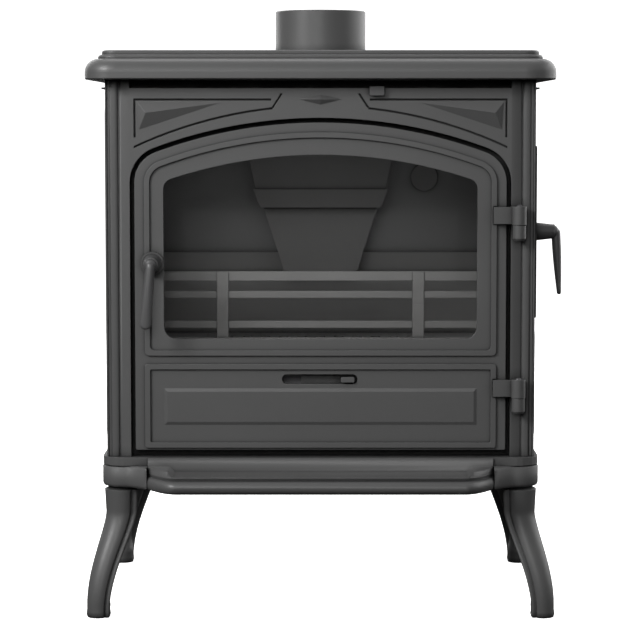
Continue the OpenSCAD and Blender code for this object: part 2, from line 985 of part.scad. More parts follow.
module rear_panel() {
    y0 = back_y - wall;
    color(iron) {
        difference() {
            union() {
                block([-inner_x, y0, body_z], [inner_x, back_y, wall_top]);
                upright(back_y - eps, back_y + relief)
                    difference() {
                        rounded_rect(40 - inner_x, inner_x - 40, body_z + 40, wall_top - 40, 12);
                        rounded_rect(48 - inner_x, inner_x - 48, body_z + 48, wall_top - 48, 8);
                    }
                block([ledge_w * 2 - inner_x, y0 - 10, fire_z - 10],
                      [inner_x - ledge_w * 2, y0 + eps, fire_z]);
            }
            port_axis()
                translate([0, 0, -1])
                    cylinder(h = wall + 3, r = 15);
        }
    }
}

// Place and direction of the rear port, whose axis points to the back
module port_axis() {
    translate([150, back_y - wall, body_z + 357])
        rotate([-90, 0, 0])
            children();
}

module port_plug() {
    color(iron_light)
        port_axis() {
            translate([0, 0, -4])
                cylinder(h = 4, r = 19);
            translate([0, 0, -eps])
                cylinder(h = wall, r = 15 - clear);
        }
}

// Top plate and flue

module top_plate() {
    z0 = wall_top;
    z1 = z0 + top_h;
    vertical = top_h - ovolo_r - 11;
    step_r = 4;
    x1 = half_w + top_side;
    y0 = face_y - top_front;
    y1 = back_y + top_back;
    profile = concat(
        [[0, z0], [top_r - 1.5, z0], [top_r, z0 + 1.5]],
        arc(top_r - ovolo_r, z0 + vertical, ovolo_r, 0, 90, 10),
        [[top_r - ovolo_r, z1 - 9.7]],
        arc(top_r - ovolo_r - step_r, z1 - 5.7 - step_r, step_r, 0, 90, 5),
        [
            [top_r - ovolo_r - step_r - 1, z1 - 5.7],
            [top_r - ovolo_r - step_r - 1, z1 - 3.5]
        ],
        arc(top_r - ovolo_r - step_r - 4, z1 - 3, 3, 10, 90, 4),
        [[0, z1]]
    );
    color(iron)
        difference() {
            moulded_slab(-x1, x1, y0, y1, top_r, profile, z0, z1);
            difference() {
                block([-inner_x, face_y + 38, z0 - 1], [inner_x, back_y - wall, z1 - top_t]);
                for (x = [-rod_x, rod_x])
                    translate([x, rod_back_y, z0])
                        cylinder(h = top_h, r = 9);
            }
            translate([0, face_y + flue_y, z1 - top_t - 1])
                cylinder(h = top_t + 2, r = flue_d / 2 - flue_wall);
            translate([0, face_y + flue_y, z1 - flange_t])
                cylinder(h = flange_t + 1, r = flue_d / 2 + flange_w + clear);
            collar_screw_axes()
                translate([0, 0, -top_t])
                    cylinder(h = top_t, r = 2.5);
            rod_holes(z0 - 1, z0 + 13);
        }
}

// Axes of the three screws that hold the collar, at the top plate's surface
module collar_screw_axes() {
    for (a = [90, 210, 330])
        translate([0, face_y + flue_y, wall_top + top_h])
            rotate([0, 0, a])
                translate([(flue_d + flange_w) / 2, 0, 0])
                    children();
}

module flue_collar() {
    z1 = wall_top + top_h;
    rim = 1.2;
    r = flue_d / 2;
    color(iron)
        difference() {
            union() {
                translate([0, face_y + flue_y, z1 - flange_t])
                    cylinder(h = flange_t + flue_h - rim, r = r);
                translate([0, face_y + flue_y, z1 + flue_h - rim - eps])
                    cylinder(h = rim + eps, r1 = r, r2 = r - rim);
                translate([0, face_y + flue_y, z1 - flange_t])
                    cylinder(h = flange_t, r = r + flange_w);
            }
            translate([0, face_y + flue_y, z1 - flange_t - 1])
                cylinder(h = flange_t + flue_h + 2, r = r - flue_wall);
            collar_screw_axes()
                translate([0, 0, -flange_t - 1])
                    cylinder(h = flange_t + 2, r = 2.5);
        }
}

module collar_screws() {
    color(steel)
        collar_screw_axes() {
            translate([0, 0, -top_t])
                cylinder(h = top_t + 1, r = 2.5);
            cylinder(h = 2, r1 = 4.5, r2 = 3.5);
        }
}

// Firebox

module fire_floor() {
    x = inner_x - clear;
    y0 = seat_y + seat_t + clear;
    y1 = back_y - wall - clear;
    grate_y = (y0 + y1) / 2;
    color(iron)
        difference() {
            block([-x, y0 + 12, fire_z], [x, y1, fire_top]);
            block([-grate_w / 2, grate_y - grate_d / 2, fire_z - 1],
                  [grate_w / 2, grate_y + grate_d / 2, fire_top + 1]);
            block([-grate_w / 2 - 6, grate_y - grate_d / 2 - 6, fire_top - 4],
                  [grate_w / 2 + 6, grate_y + grate_d / 2 + 6, fire_top + 1]);
            rod_holes(fire_z - 1, fire_top + 1);
        }
}

module grate() {
    y0 = seat_y + seat_t + clear;
    y1 = back_y - wall - clear;
    mid_y = (y0 + y1) / 2;
    x = grate_w / 2 + 6 - clear;
    y = grate_d / 2 + 6 - clear;
    z0 = fire_top - 4;
    inner = grate_w - 24;
    pitch = inner / grate_bars;
    gap = pitch * 0.5;
    color(iron_dark)
        difference() {
            union() {
                block([-x, mid_y - y, z0], [x, mid_y + y, z0 + 4]);
                block([1 - grate_w / 2, mid_y - grate_d / 2 + 1, z0 - 6],
                      [grate_w / 2 - 1, mid_y + grate_d / 2 - 1, z0 + 4]);
            }
            for (i = [0:grate_bars - 1])
                translate([-inner / 2 + pitch * (i + 0.5) - gap / 2, 0, 0])
                    block([0, mid_y - grate_d / 2 + 16, z0 - 7],
                          [gap, mid_y + grate_d / 2 - 16, z0 + 5]);
        }
}

module left_lining() {
    color(lining_buff)
        block([-lining_x, guard_front + 20, fire_top],
              [lining_t - lining_x, back_y - wall - lining_t - 8, fire_top + lining_h]);
}

module right_lining() {
    color(lining_buff)
        block([lining_x - lining_t, guard_front + 20, fire_top],
              [lining_x, back_y - wall - lining_t - 8, fire_top + low_lining_h]);
}

module rear_lining() {
    y1 = back_y - wall - clear;
    step = 29;
    color(iron_dark) {
        block([-lining_x, y1 - lining_t + 3, fire_top],
              [lining_x, y1, fire_top + rear_lining_h]);
        block([-lining_x, y1 - lining_t - 3, fire_top],
              [lining_x, y1 - lining_t + 3 + eps, fire_top + rear_lining_h - step]);
    }
}

module roof_baffle() {
    color(lining_buff)
        block([clear - inner_x, baffle_front, baffle_foot],
              [inner_x - clear, back_y - 40, baffle_foot + baffle_t]);
}

// One tapered plate hanging behind the fire
module tapered(foot_w, top_w, z0, z1, r) {
    polygon(concat(
        arc(foot_w / 2 - r, z0 + r, r, -90, 0, 5),
        [[top_w / 2, z1], [-top_w / 2, z1]],
        arc(r - foot_w / 2, z0 + r, r, 180, 270, 5)
    ));
}

module throat_hood() {
    y = face_y + throat_y;
    band_z = body_z + throat_z + 93;
    color(iron_dark) {
        upright(y, y + throat_t)
            tapered(hood_w - 18, hood_w + 18, band_z + 26, baffle_foot, 0.5);
        upright(y - 4, y + throat_t)
            tapered(hood_w - 29, hood_w - 11, band_z, band_z + 26 + eps, 3);
    }
}

module throat_tongue() {
    y = face_y + throat_y + throat_t;
    z0 = body_z + throat_z;
    color(iron_dark)
        upright(y, y + throat_t)
            tapered(throat_foot_w, hood_w - 29, z0, z0 + 112, 10);
}

module guard_posts(z0, z1) {
    for (x = [-post_gap / 2, post_gap / 2])
        block([x - post_w / 2, guard_front - 1, z0],
              [x + post_w / 2, guard_front + guard_t, z1]);
}

module guard_bar(z) {
    block([-guard_half, guard_front, z], [guard_half, guard_front + guard_t, z + bar_h]);
}

module guard_lower() {
    seam = body_z + guard_seam_h;
    color(iron_dark) {
        guard_posts(fire_top, seam);
        guard_bar(seam - bar_drop);
        block([-guard_half, guard_front - 4, fire_top + 10],
              [guard_half, guard_front + guard_t, fire_top + 18]);
    }
}

module guard_upper() {
    seam = body_z + guard_seam_h;
    color(iron_dark) {
        guard_posts(seam, seam + guard_rise);
        guard_bar(seam + bar_h - 1);
        block([-guard_half, guard_front, seam + guard_rise - rail_h],
              [guard_half, guard_front + guard_t, seam + guard_rise]);
    }
}

module pan_runners() {
    y0 = seat_y + seat_t + clear;
    color(iron_dark)
        for (x = [-pan_w / 2 + 20, pan_w / 2 - 20])
            block([x - runner_w / 2, y0, body_z],
                  [x + runner_w / 2, pan_front + pan_d, pan_foot - clear]);
}

module ash_pan() {
    y0 = pan_front;
    y1 = y0 + pan_d;
    x = pan_w / 2;
    rim = 6;
    color(steel)
        difference() {
            union() {
                block([-x, y0, pan_foot], [x, y1, pan_foot + pan_h]);
                block([-x - rim, y0, pan_foot + pan_h - pan_t],
                      [x + rim, y1, pan_foot + pan_h]);
            }
            block([pan_t - x, y0 + pan_t, pan_foot + pan_t],
                  [x - pan_t, y1 - pan_t, pan_foot + pan_h + 1]);
        }
}

// Air-wash slots, shared by the channel's shelf and the slide
module wash_slots(z0, z1, y0, y1) {
    for (i = [-2:2])
        translate([i * 2 * wash_slot_w, 0, 0])
            block([-wash_slot_w / 2, y0, z0], [wash_slot_w / 2, y1, z1]);
}

module air_wash_channel() {
    y0 = face_y + wall + clear;
    y1 = y0 + 27;
    shelf_z = plate_top - 6;
    drop = 40;
    x = opening_half + 6;
    color(iron_dark)
        difference() {
            union() {
                block([-x, y0, shelf_z], [x, y1, shelf_z + 3]);
                block([-x, y1 - 3, shelf_z - drop + 12], [x, y1, wall_top - clear]);
            }
            wash_slots(shelf_z - 1, shelf_z + 4, y0 + 6, y0 + 18);
        }
}

module air_wash_slide() {
    y0 = face_y + wall + clear + 2;
    y1 = y0 + 20;
    z0 = plate_top - 3 + clear;
    t = 2;
    reach = 6;
    x1 = 5 * wash_slot_w;
    lip_z = plate_top + clear;
    color(steel)
        difference() {
            union() {
                block([-x1, y0, z0], [x1, y1, z0 + t]);
                block([tab_x - tab_w / 2, y0, z0], [tab_x + tab_w / 2, y0 + t, lip_z + t]);
                block([tab_x - tab_w / 2, face_y - reach, lip_z],
                      [tab_x + tab_w / 2, y0 + t, lip_z + t]);
                upright(face_y - reach, face_y - reach + t)
                    rounded_rect(
                        tab_x - tab_w / 2, tab_x + tab_w / 2,
                        lip_z - 10, lip_z + t, 2
                    );
            }
            translate([-wash_slot_w / 2, 0, 0])
                wash_slots(z0 - 1, z0 + t + 1, y0 + 4, y0 + 16);
        }
}

// Front hinges

module hinge_seams() {
    for (z = [hinge_low, hinge_high])
        translate([hinge_x, hinge_y, body_z + z])
            children();
}

module body_knuckles() {
    root_w = 11;
    color(iron)
        hinge_seams()
            difference() {
                union() {
                    translate([0, 0, 3 - body_knuckle_h])
                        cylinder(h = body_knuckle_h - 3, r = barrel_r - 0.6);
                    translate([0, 0, -body_knuckle_h])
                        cylinder(h = 3 + eps, r1 = barrel_r - 3, r2 = barrel_r - 0.6);
                    block([-root_w / 2, 0, 3 - body_knuckle_h], [root_w / 2, hinge_fwd, 0]);
                }
                translate([0, 0, 2 - body_knuckle_h])
                    cylinder(h = body_knuckle_h, r = pin_r);
            }
}

module hinge_pins() {
    tip = 1.5;
    top = knuckle_gap + door_knuckle_h + 0.6;
    color(steel)
        hinge_seams() {
            translate([0, 0, 2 - body_knuckle_h])
                cylinder(h = top + body_knuckle_h - 2, r = pin_r);
            translate([0, 0, top - eps])
                cylinder(h = tip, r1 = pin_r, r2 = pin_r - tip);
        }
}

module door_straps() {
    left = strap_left - hinge_x;
    z0 = knuckle_gap;
    z1 = z0 + door_knuckle_h;
    color(iron)
        hinge_seams()
            difference() {
                union() {
                    translate([0, 0, z0])
                        cylinder(h = door_knuckle_h, r = barrel_r);
                    block([left, hinge_fwd - strap_t, z0 + 1],
                          [door_half - hinge_x, hinge_fwd, z1 - 1]);
                    block([left, hinge_fwd - strap_t, z0 + 1], [0, hinge_fwd - 2, z1 - 1]);
                }
                translate([0, 0, z0 - 1])
                    cylinder(h = door_knuckle_h + 2, r = pin_r + run_clear);
            }
}

// Front door

module door_casting() {
    back = face_y + door_t;
    rib_t = 2.4;
    rib_h = 7;
    slot_mid = door_foot + slot_z;
    field_half = door_half - stile_w;
    color(iron)
        difference() {
            union() {
                upright(face_y, back)
                    door_shape(0);
                upright(face_y - relief, face_y + eps)
                    difference() {
                        frame_outline(border_in);
                        frame_outline(border_in + border_w);
                    }
                upright(face_y - relief, face_y + eps)
                    ash_border();
                raised_field(
                    -field_half, field_half,
                    door_foot + field_z, door_foot + field_z + field_h,
                    face_y + eps, field_h_out + eps, 4
                );
                upright(back - eps, back + rib_h)
                    difference() {
                        door_shape(0);
                        door_shape(rib_t);
                    }
                upright(back - eps, back + rib_h)
                    difference() {
                        door_shape(seat_lap);
                        door_shape(seat_lap + rib_t);
                    }
                upright(face_y - boss_h, face_y + eps)
                    translate([spindle_x, spindle_z])
                        circle(r = boss_r);
                upright(back - eps, back + rib_h)
                    difference() {
                        translate([spindle_x, spindle_z])
                            circle(r = hub_r - 1);
                        glass_shape(glass_lap + clear);
                    }
            }
            hinge_seams()
                block([strap_left - hinge_x - clear, -1, knuckle_gap],
                      [0, hinge_fwd, knuckle_gap + door_knuckle_h]);
            upright(face_y - boss_h - 1, back + rib_h + 1)
                glass_shape(0);
            upright(face_y - boss_h - 1, back + 1)
                slot_shape(slot_w, slot_h, slot_mid);
            translate([spindle_x, face_y - boss_h - 1, spindle_z])
                rotate([-90, 0, 0])
                    cylinder(h = boss_h + door_t + rib_h + 2, r = spindle_r + run_clear);
        }
}

// Outline of the border round the glass, drawn in from the door's edge
module frame_outline(inset) {
    polygon(arch_outline(
        door_half - inset, door_foot + frame_foot + inset - border_in, door_crown - inset,
        arch_r - door_gap - inset, shoulder_r - door_gap - inset, 6
    ));
}

// Border round the ash panel
module ash_border() {
    x = door_half - border_in;
    z1 = door_foot + border_top;
    difference() {
        rounded_rect(-x, x, door_foot + 3, z1, 3);
        rounded_rect(border_w - x, x - border_w, door_foot + 3 + border_w, z1 - border_w, 2);
    }
}

module slot_shape(w, h, z) {
    rounded_rect(-w / 2 - 1, w / 2 - 1, z - h / 2, z + h / 2, h / 2 - eps);
}

module door_glass() {
    y0 = face_y + door_t + tape_t;
    color([0.1, 0.1, 0.1, 0.35])
        upright(y0, y0 + glass_t)
            glass_shape(glass_lap);
}

module glass_tape() {
    y0 = face_y + door_t;
    color(rope_grey)
        upright(y0, y0 + tape_t)
            difference() {
                glass_shape(glass_lap);
                glass_shape(1);
            }
}

// Places of the glass clips: X, Z and the turn that points each clip at the glass
function clip_places() =
    let (
        out = glass_half + glass_lap + 5.5,
        low = glass_foot - glass_lap - 5.5,
        h = glass_crown - glass_foot,
        z1 = glass_foot + h / 6,
        z2 = glass_foot + 2 * h / 3,
        x = 0.6 * glass_half
    )
    [
        [-out, z1, 0], [-out, z2, 0],
        [out, z1, 180], [out, z2, 180],
        [-x, low, 90], [x, low, 90]
    ];

module glass_clips() {
    y0 = face_y + door_t;
    lift = tape_t + glass_t;
    color(steel)
        for (p = clip_places())
            translate([p[0], y0, p[1]])
                rotate([0, -p[2], 0])
                    difference() {
                        union() {
                            block([-5, 0, -7], [5, lift + 2, 7]);
                            block([4, lift, -7], [11, lift + 2, 7]);
                        }
                        rotate([-90, 0, 0])
                            translate([0, 0, -1])
                                cylinder(h = lift + 4, r = 2);
                    }
}

module clip_screws() {
    y0 = face_y + door_t;
    lift = tape_t + glass_t;
    color(steel)
        for (p = clip_places())
            translate([p[0], y0, p[1]])
                rotate([-90, 0, 0]) {
                    cylinder(h = lift + 3, r = 2);
                    translate([0, 0, lift + 2])
                        cylinder(h = 2.2, r1 = 4, r2 = 3);
                }
}

module door_rope() {
    y0 = face_y + door_t;
    color(rope_grey)
        upright(y0, y0 + rope_t)
            difference() {
                door_shape(rope_in + 0.6);
                door_shape(rope_in + rope_w);
            }
}

// Primary air

module slide_guides() {
    y0 = face_y + door_t;
    z = door_foot + slot_z;
    x = slot_w / 2 + 30;
    gate = 13;
    color(steel)
        for (side = [-1, 1]) {
            block([-x, y0, z + side * (gate + 2) - 2], [x, y0 + 2.6, z + side * (gate + 2) + 2]);
            block([-x, y0 + 2.6 - eps, z + side * (gate + 0.5) - 3.5],
                  [x, y0 + 4.2, z + side * (gate + 0.5) + 3.5]);
        }
}

module primary_slide() {
    y0 = face_y + door_t + clear;
    z = door_foot + slot_z;
    left = -slot_w / 2 - 1 + slot_travel;
    right = slot_w / 2 + 26;
    gate = 13 - clear;
    grip_x = slot_w / 2 - 1 - 4 - grip_w;
    color(iron_light) {
        block([left, y0, z - gate], [right, y0 + 2, z + gate]);
        upright(face_y - 3, y0 + eps)
            rounded_rect(grip_x, grip_x + grip_w, z - 4, z + 3, 2);
    }
}

// Handles, drawn with the spindle along +X from the boss face and the lever hanging down

function lever_ring(z, half_side, half_out, x) = [
    for (i = [0:23])
        [x + half_out * cos(15 * i), half_side * sin(15 * i), z]
];

// Rounding of the lever's end at a distance up from its tip
function tip_round(up, r) = sqrt(1 - pow(max(0, 1 - up / r), 2));

module handle_form(reach, lean) {
    out = 9.1;
    fall = 4.9;
    tip_r = 6;
    rings = 9;
    grip = lever_len + 3.2;
    rises = concat([0.3, 1.2, 3], [for (i = [0:rings]) tip_r + (grip - tip_r) * i / rings]);
    rotate([0, 90, 0])
        cylinder(h = reach, r1 = stub_r, r2 = elbow_r);
    translate([reach, 0, 0])
        sphere(r = elbow_r);
    rotate([lean, 0, 0])
        loft([for (up = rises)
            let (
                t = up / grip,
                side = (6 + 1.3 * cos(90 * t)) * tip_round(up, tip_r),
                thick = (2.6 + 3.4 * sin(90 * min(1, 1.15 * t))) * tip_round(up, 2)
            )
                lever_ring(up - grip, side, thick, reach + out - fall * t)]);
}

// Spindle, drawn along -X from the boss face
module spindle(length) {
    rotate([0, -90, 0])
        cylinder(h = length, r = spindle_r);
}

module front_handle_frame() {
    translate([spindle_x, face_y - boss_h - clear, spindle_z])
        rotate([0, 0, -90])
            children();
}

module front_lever() {
    through = seat_y + seat_t + tongue_gap + tongue_t - face_y + boss_h + clear;
    color(iron_light)
        front_handle_frame() {
            handle_form(front_reach - boss_h, -lever_lean);
            spindle(through);
        }
}

// A latch tongue: hub and finger, drawn in the XZ plane with the finger to -X
module tongue_shape(length) {
    difference() {
        union() {
            circle(r = hub_r);
            translate([-length, -tongue_w / 2])
                square([length, tongue_w]);
        }
        circle(r = spindle_r);
    }
}

module front_tongue() {
    y0 = seat_y + seat_t + tongue_gap;
    color(steel)
        upright(y0, y0 + tongue_t)
            translate([spindle_x, spindle_z])
                tongue_shape(handle_in + seat_lap / 2 - 3);
}

module front_nut() {
    y0 = seat_y + seat_t + tongue_gap + tongue_t;
    color(steel)
        translate([spindle_x, y0, spindle_z])
            rotate([-90, 0, 0])
                cylinder(h = 5, r = 8, $fn = 6);
}

// Side door

module side_door_casting() {
    color(iron)
        difference() {
            union() {
                sideways(side_plate_x, side_face_x)
                    rounded_rect(side_y0, side_y1, side_z0, side_z1, 5);
                sideways(side_plate_x - 4, side_plate_x + eps)
                    difference() {
                        rounded_rect(
                            side_y0 + side_seat_w + 2, side_y1 - side_seat_w - 2,
                            side_z0 + side_seat_w + 2, side_z1 - side_seat_w - 2, 5
                        );
                        rounded_rect(
                            side_y0 + side_seat_w + 5, side_y1 - side_seat_w - 5,
                            side_z0 + side_seat_w + 5, side_z1 - side_seat_w - 5, 3
                        );
                    }
            }
            sideways(side_face_x - 1.5, side_face_x + 1)
                difference() {
                    rounded_rect(side_y0 + 18, side_y1 - 18, side_z0 + 18, side_z1 - 18, 6);
                    rounded_rect(side_y0 + 20, side_y1 - 20, side_z0 + 20, side_z1 - 20, 4);
                }
            translate([side_plate_x - 5, side_spindle_y, side_spindle_z])
                rotate([0, 90, 0])
                    cylinder(h = side_door_t + 10, r = spindle_r + run_clear);
        }
}

module side_door_rope() {
    color(rope_grey)
        sideways(side_plate_x - side_rope_t, side_plate_x)
            difference() {
                rounded_rect(side_y0 + 2, side_y1 - 2, side_z0 + 2, side_z1 - 2, 4);
                rounded_rect(
                    side_y0 + side_seat_w - 1, side_y1 - side_seat_w + 1,
                    side_z0 + side_seat_w - 1, side_z1 - side_seat_w + 1, 3
                );
            }
}

module side_hinge_seams() {
    for (z = [side_z0 + 45, side_z1 - 45])
        translate([side_hinge_x, side_hinge_y, z])
            children();
}

module side_door_leaves() {
    color(iron)
        side_hinge_seams()
            difference() {
                union() {
                    translate([0, 0, knuckle_gap])
                        cylinder(h = side_knuckle_h, r = side_barrel_r);
                    block([-side_barrel_r, -34, knuckle_gap],
                          [side_leaf_t - side_barrel_r, 0, knuckle_gap + side_knuckle_h]);
                }
                cylinder(h = side_knuckle_h + 2, r = side_pin_r + run_clear);
            }
}

module side_body_leaves() {
    foot_x = side_x - side_hinge_x;
    color(iron)
        side_hinge_seams()
            difference() {
                union() {
                    translate([0, 0, -side_knuckle_h])
                        cylinder(h = side_knuckle_h, r = side_barrel_r);
                    block([foot_x, 0, -side_knuckle_h], [side_leaf_t - side_barrel_r, 26, 0]);
                }
                translate([0, 0, 2 - side_knuckle_h])
                    cylinder(h = side_knuckle_h, r = side_pin_r);
            }
}

module side_hinge_pins() {
    color(steel)
        side_hinge_seams()
            translate([0, 0, 2 - side_knuckle_h])
                cylinder(h = 2 * side_knuckle_h - 2 + knuckle_gap + 1.5, r = side_pin_r);
}

module side_lever() {
    through = side_face_x + clear - side_seat_back + tongue_gap + tongue_t;
    color(iron_light)
        translate([side_face_x + clear, side_spindle_y, side_spindle_z]) {
            handle_form(side_reach, 0);
            spindle(through);
        }
}

module side_tongue() {
    x1 = side_seat_back - tongue_gap;
    color(steel)
        sideways(x1 - tongue_t, x1)
            translate([side_spindle_y, side_spindle_z])
                tongue_shape(side_handle_in - side_seat_w + 6);
}

module side_nut() {
    x1 = side_seat_back - tongue_gap - tongue_t;
    color(steel)
        translate([x1, side_spindle_y, side_spindle_z])
            rotate([0, -90, 0])
                cylinder(h = 5, r = 8, $fn = 6);
}

base_plate();
base_ring();
ash_lip();
leg_front_left();
leg_front_right();
leg_rear_left();
leg_rear_right();
leg_bolts();
front_plate();
left_panel();
right_panel();
rear_panel();
tie_rods();
top_plate();
flue_collar();
collar_screws();
fire_floor();
grate();
left_lining();
right_lining();
rear_lining();
port_plug();
roof_baffle();
throat_hood();
throat_tongue();
guard_lower();
guard_upper();
pan_runners();
air_wash_channel();
body_knuckles();
hinge_pins();
side_body_leaves();
side_hinge_pins();
door_casting();
door_straps();
door_glass();
glass_tape();
glass_clips();
clip_screws();
door_rope();
slide_guides();
primary_slide();
front_lever();
front_tongue();
front_nut();
air_wash_slide();
side_door_casting();
side_door_rope();
side_door_leaves();
side_lever();
side_tongue();
side_nut();
ash_pan();
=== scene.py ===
"""Dresses and lights a cast iron wood stove that stands on four cabriole legs."""

from __future__ import annotations

import json
import logging
import math
from dataclasses import dataclass
from enum import Enum
from typing import Callable, Sequence

import bmesh
import bpy
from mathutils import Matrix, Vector

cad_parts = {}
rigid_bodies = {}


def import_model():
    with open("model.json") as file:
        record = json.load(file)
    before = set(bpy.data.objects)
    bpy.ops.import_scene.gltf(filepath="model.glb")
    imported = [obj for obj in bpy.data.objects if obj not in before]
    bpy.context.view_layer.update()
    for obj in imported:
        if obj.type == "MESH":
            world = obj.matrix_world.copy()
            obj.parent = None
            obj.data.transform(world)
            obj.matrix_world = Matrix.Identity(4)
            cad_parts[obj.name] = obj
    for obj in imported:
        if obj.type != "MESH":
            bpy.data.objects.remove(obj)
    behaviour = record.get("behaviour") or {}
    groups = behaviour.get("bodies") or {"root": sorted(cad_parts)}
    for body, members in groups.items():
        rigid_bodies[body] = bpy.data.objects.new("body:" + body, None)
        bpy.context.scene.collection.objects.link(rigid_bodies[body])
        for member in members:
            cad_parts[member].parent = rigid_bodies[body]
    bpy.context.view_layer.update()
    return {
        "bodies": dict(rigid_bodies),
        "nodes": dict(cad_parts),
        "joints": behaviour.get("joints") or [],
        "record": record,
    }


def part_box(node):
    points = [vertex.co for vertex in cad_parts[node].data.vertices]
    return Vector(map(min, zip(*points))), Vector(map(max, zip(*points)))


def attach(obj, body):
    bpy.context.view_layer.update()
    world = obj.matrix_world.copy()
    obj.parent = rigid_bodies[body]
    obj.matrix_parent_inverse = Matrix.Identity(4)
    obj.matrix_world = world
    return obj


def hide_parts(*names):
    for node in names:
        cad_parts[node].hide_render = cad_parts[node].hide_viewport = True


LOG = logging.getLogger("stove")
MM = 0.001
WELD = 1e-6
PHOTO_SIDE = 640
SENSOR = 36.0

# The two colours of a Mix node and its result, by place among its sockets
MIX_LOW, MIX_HIGH, MIX_RESULT = 6, 7, 2

Triple = tuple[float, float, float]


# Shader maths


class Signal:
    """A number on its way through a material, usable in plain expressions."""

    def __init__(self, paint: Paint, socket: bpy.types.NodeSocket) -> None:
        """Wraps one output socket.

        Args:
            paint: the material that the socket belongs to.
            socket: the output socket.
        """
        self.paint = paint
        self.socket = socket

    def _maths(self, operation: str, first: Signal | float, second: Signal | float) -> Signal:
        """Adds one Math node and returns its result."""
        return self.paint.node("ShaderNodeMath", {"operation": operation}, {0: first, 1: second})

    def __add__(self, other: Signal | float) -> Signal:
        """Adds a signal or number."""
        return self._maths("ADD", self, other)

    def __radd__(self, other: float) -> Signal:
        """Adds this signal to a number."""
        return self._maths("ADD", other, self)

    def __sub__(self, other: Signal | float) -> Signal:
        """Takes a signal or number away."""
        return self._maths("SUBTRACT", self, other)

    def __rsub__(self, other: float) -> Signal:
        """Takes this signal away from a number."""
        return self._maths("SUBTRACT", other, self)

    def __mul__(self, other: Signal | float) -> Signal:
        """Multiplies by a signal or number."""
        return self._maths("MULTIPLY", self, other)

    def sine(self) -> Signal:
        """The sine of this signal."""
        return self._maths("SINE", self, 0.0)

    def clamped(self) -> Signal:
        """This signal held between 0 and 1."""
        return self.paint.node("ShaderNodeClamp", {}, {"Value": self})

    def swing(self, width: float) -> Signal:
        """Centres a noise from 0 to 1 on 0.

        Args:
            width: how far apart its ends then lie.

        Returns:
            The swing, from minus half the width to plus half of it.
        """
        return (self - 0.5) * width


class Paint:
    """One material under construction."""

    def __init__(self, name: str) -> None:
        """Starts an empty node material.

        Args:
            name: the finish's plain name.
        """
        self.material = bpy.data.materials.new(name)
        self.material.use_nodes = True
        self.tree = self.material.node_tree
        self.tree.nodes.clear()
        self.output = self.tree.nodes.new("ShaderNodeOutputMaterial")

    def node(self, kind: str, settings: dict[str, object], sockets: dict[str | int, object],
             output: int | str = 0) -> Signal:
        """Adds any node: settings first, then the values or links of its sockets.

        Args:
            kind: the node's type.
            settings: attributes such as a Math node's operation.
            sockets: socket name or index to a value, a Signal or nothing.
            output: which output to hand back.

        Returns:
            The chosen output as a Signal.
        """
        made = self.tree.nodes.new(kind)
        for key, value in settings.items():
            setattr(made, key, value)
        for key, value in sockets.items():
            if isinstance(value, Signal):
                self.tree.links.new(value.socket, made.inputs[key])
            elif value is not None:
                made.inputs[key].default_value = value
        return Signal(self, made.outputs[output])

    def place(self) -> Signal:
        """The point on the surface, in the shared frame."""
        return self.node("ShaderNodeTexCoord", {}, {}, "Object")

    def stretched(self, scale: Triple) -> Signal:
        """The point on the surface, stretched along the axes."""
        return self.node("ShaderNodeMapping", {}, {"Vector": self.place(), "Scale": scale})

    def noise(self, scale: float, detail: float = 2.0, rough: float = 0.5,
              where: Signal | None = None) -> Signal:
        """Soft noise from 0 to 1.

        Args:
            scale: cells per metre.
            detail: octaves.
            rough: how strong the finer octaves are.
            where: the point to read, or None for the surface point.

        Returns:
            The noise value.
        """
        sockets = {"Vector": where or self.place(), "Scale": scale, "Detail": detail,
                   "Roughness": rough}
        return self.node("ShaderNodeTexNoise", {}, sockets, "Fac")

    def mix(self, share: Signal, low: Sequence[float], high: Sequence[float] | Signal) -> Signal:
        """Mixes two colours by a share from 0 to 1.

        Args:
            share: how much of the second colour shows.
            low: the first colour.
            high: the second colour, plain or mixed already.

        Returns:
            The mixed colour.
        """
        sockets = {"Factor": share, MIX_LOW: (*low, 1.0),
                   MIX_HIGH: high if isinstance(high, Signal) else (*high, 1.0)}
        return self.node("ShaderNodeMix", {"data_type": "RGBA"}, sockets, MIX_RESULT)

    def soft_arris(self, radius: float, samples: int) -> Signal:
        """The surface normal with every arris rounded.

        Args:
            radius: the rounding in mm.
            samples: how many rays look for the arris.

        Returns:
            The rounded normal.
        """
        return self.node("ShaderNodeBevel", {"samples": samples}, {"Radius": radius * MM})

    def bump(self, strength: float, relief: float, height: Signal,
             normal: Signal | None = None) -> Signal:
        """Raises a pattern on the surface.

        Args:
            strength: how much of the relief shows, from 0 to 1.
            relief: the pattern's height in mm.
            height: the pattern.
            normal: the normal below it, or None for the surface's own.

        Returns:
            The raised normal.
        """
        sockets = {"Strength": strength, "Distance": relief * MM, "Height": height,
                   "Normal": normal}
        return self.node("ShaderNodeBump", {}, sockets)

    def finish(self, sockets: dict[str, object]) -> bpy.types.Material:
        """Ends the material with its shader.

        Args:
            sockets: the shader's values and signals by name.

        Returns:
            The finished material.
        """
        shader = self.node("ShaderNodeBsdfPrincipled", {}, sockets)
        self.tree.links.new(shader.socket, self.output.inputs["Surface"])
        return self.material


# Finishes


def dimmed(tone: Triple, share: float) -> Triple:
    """Scales a tone.

    Args:
        tone: the tone.
        share: the share of its brightness that is left, over 1 to brighten it.

    Returns:
        The scaled tone.
    """
    return tuple(part * share for part in tone)


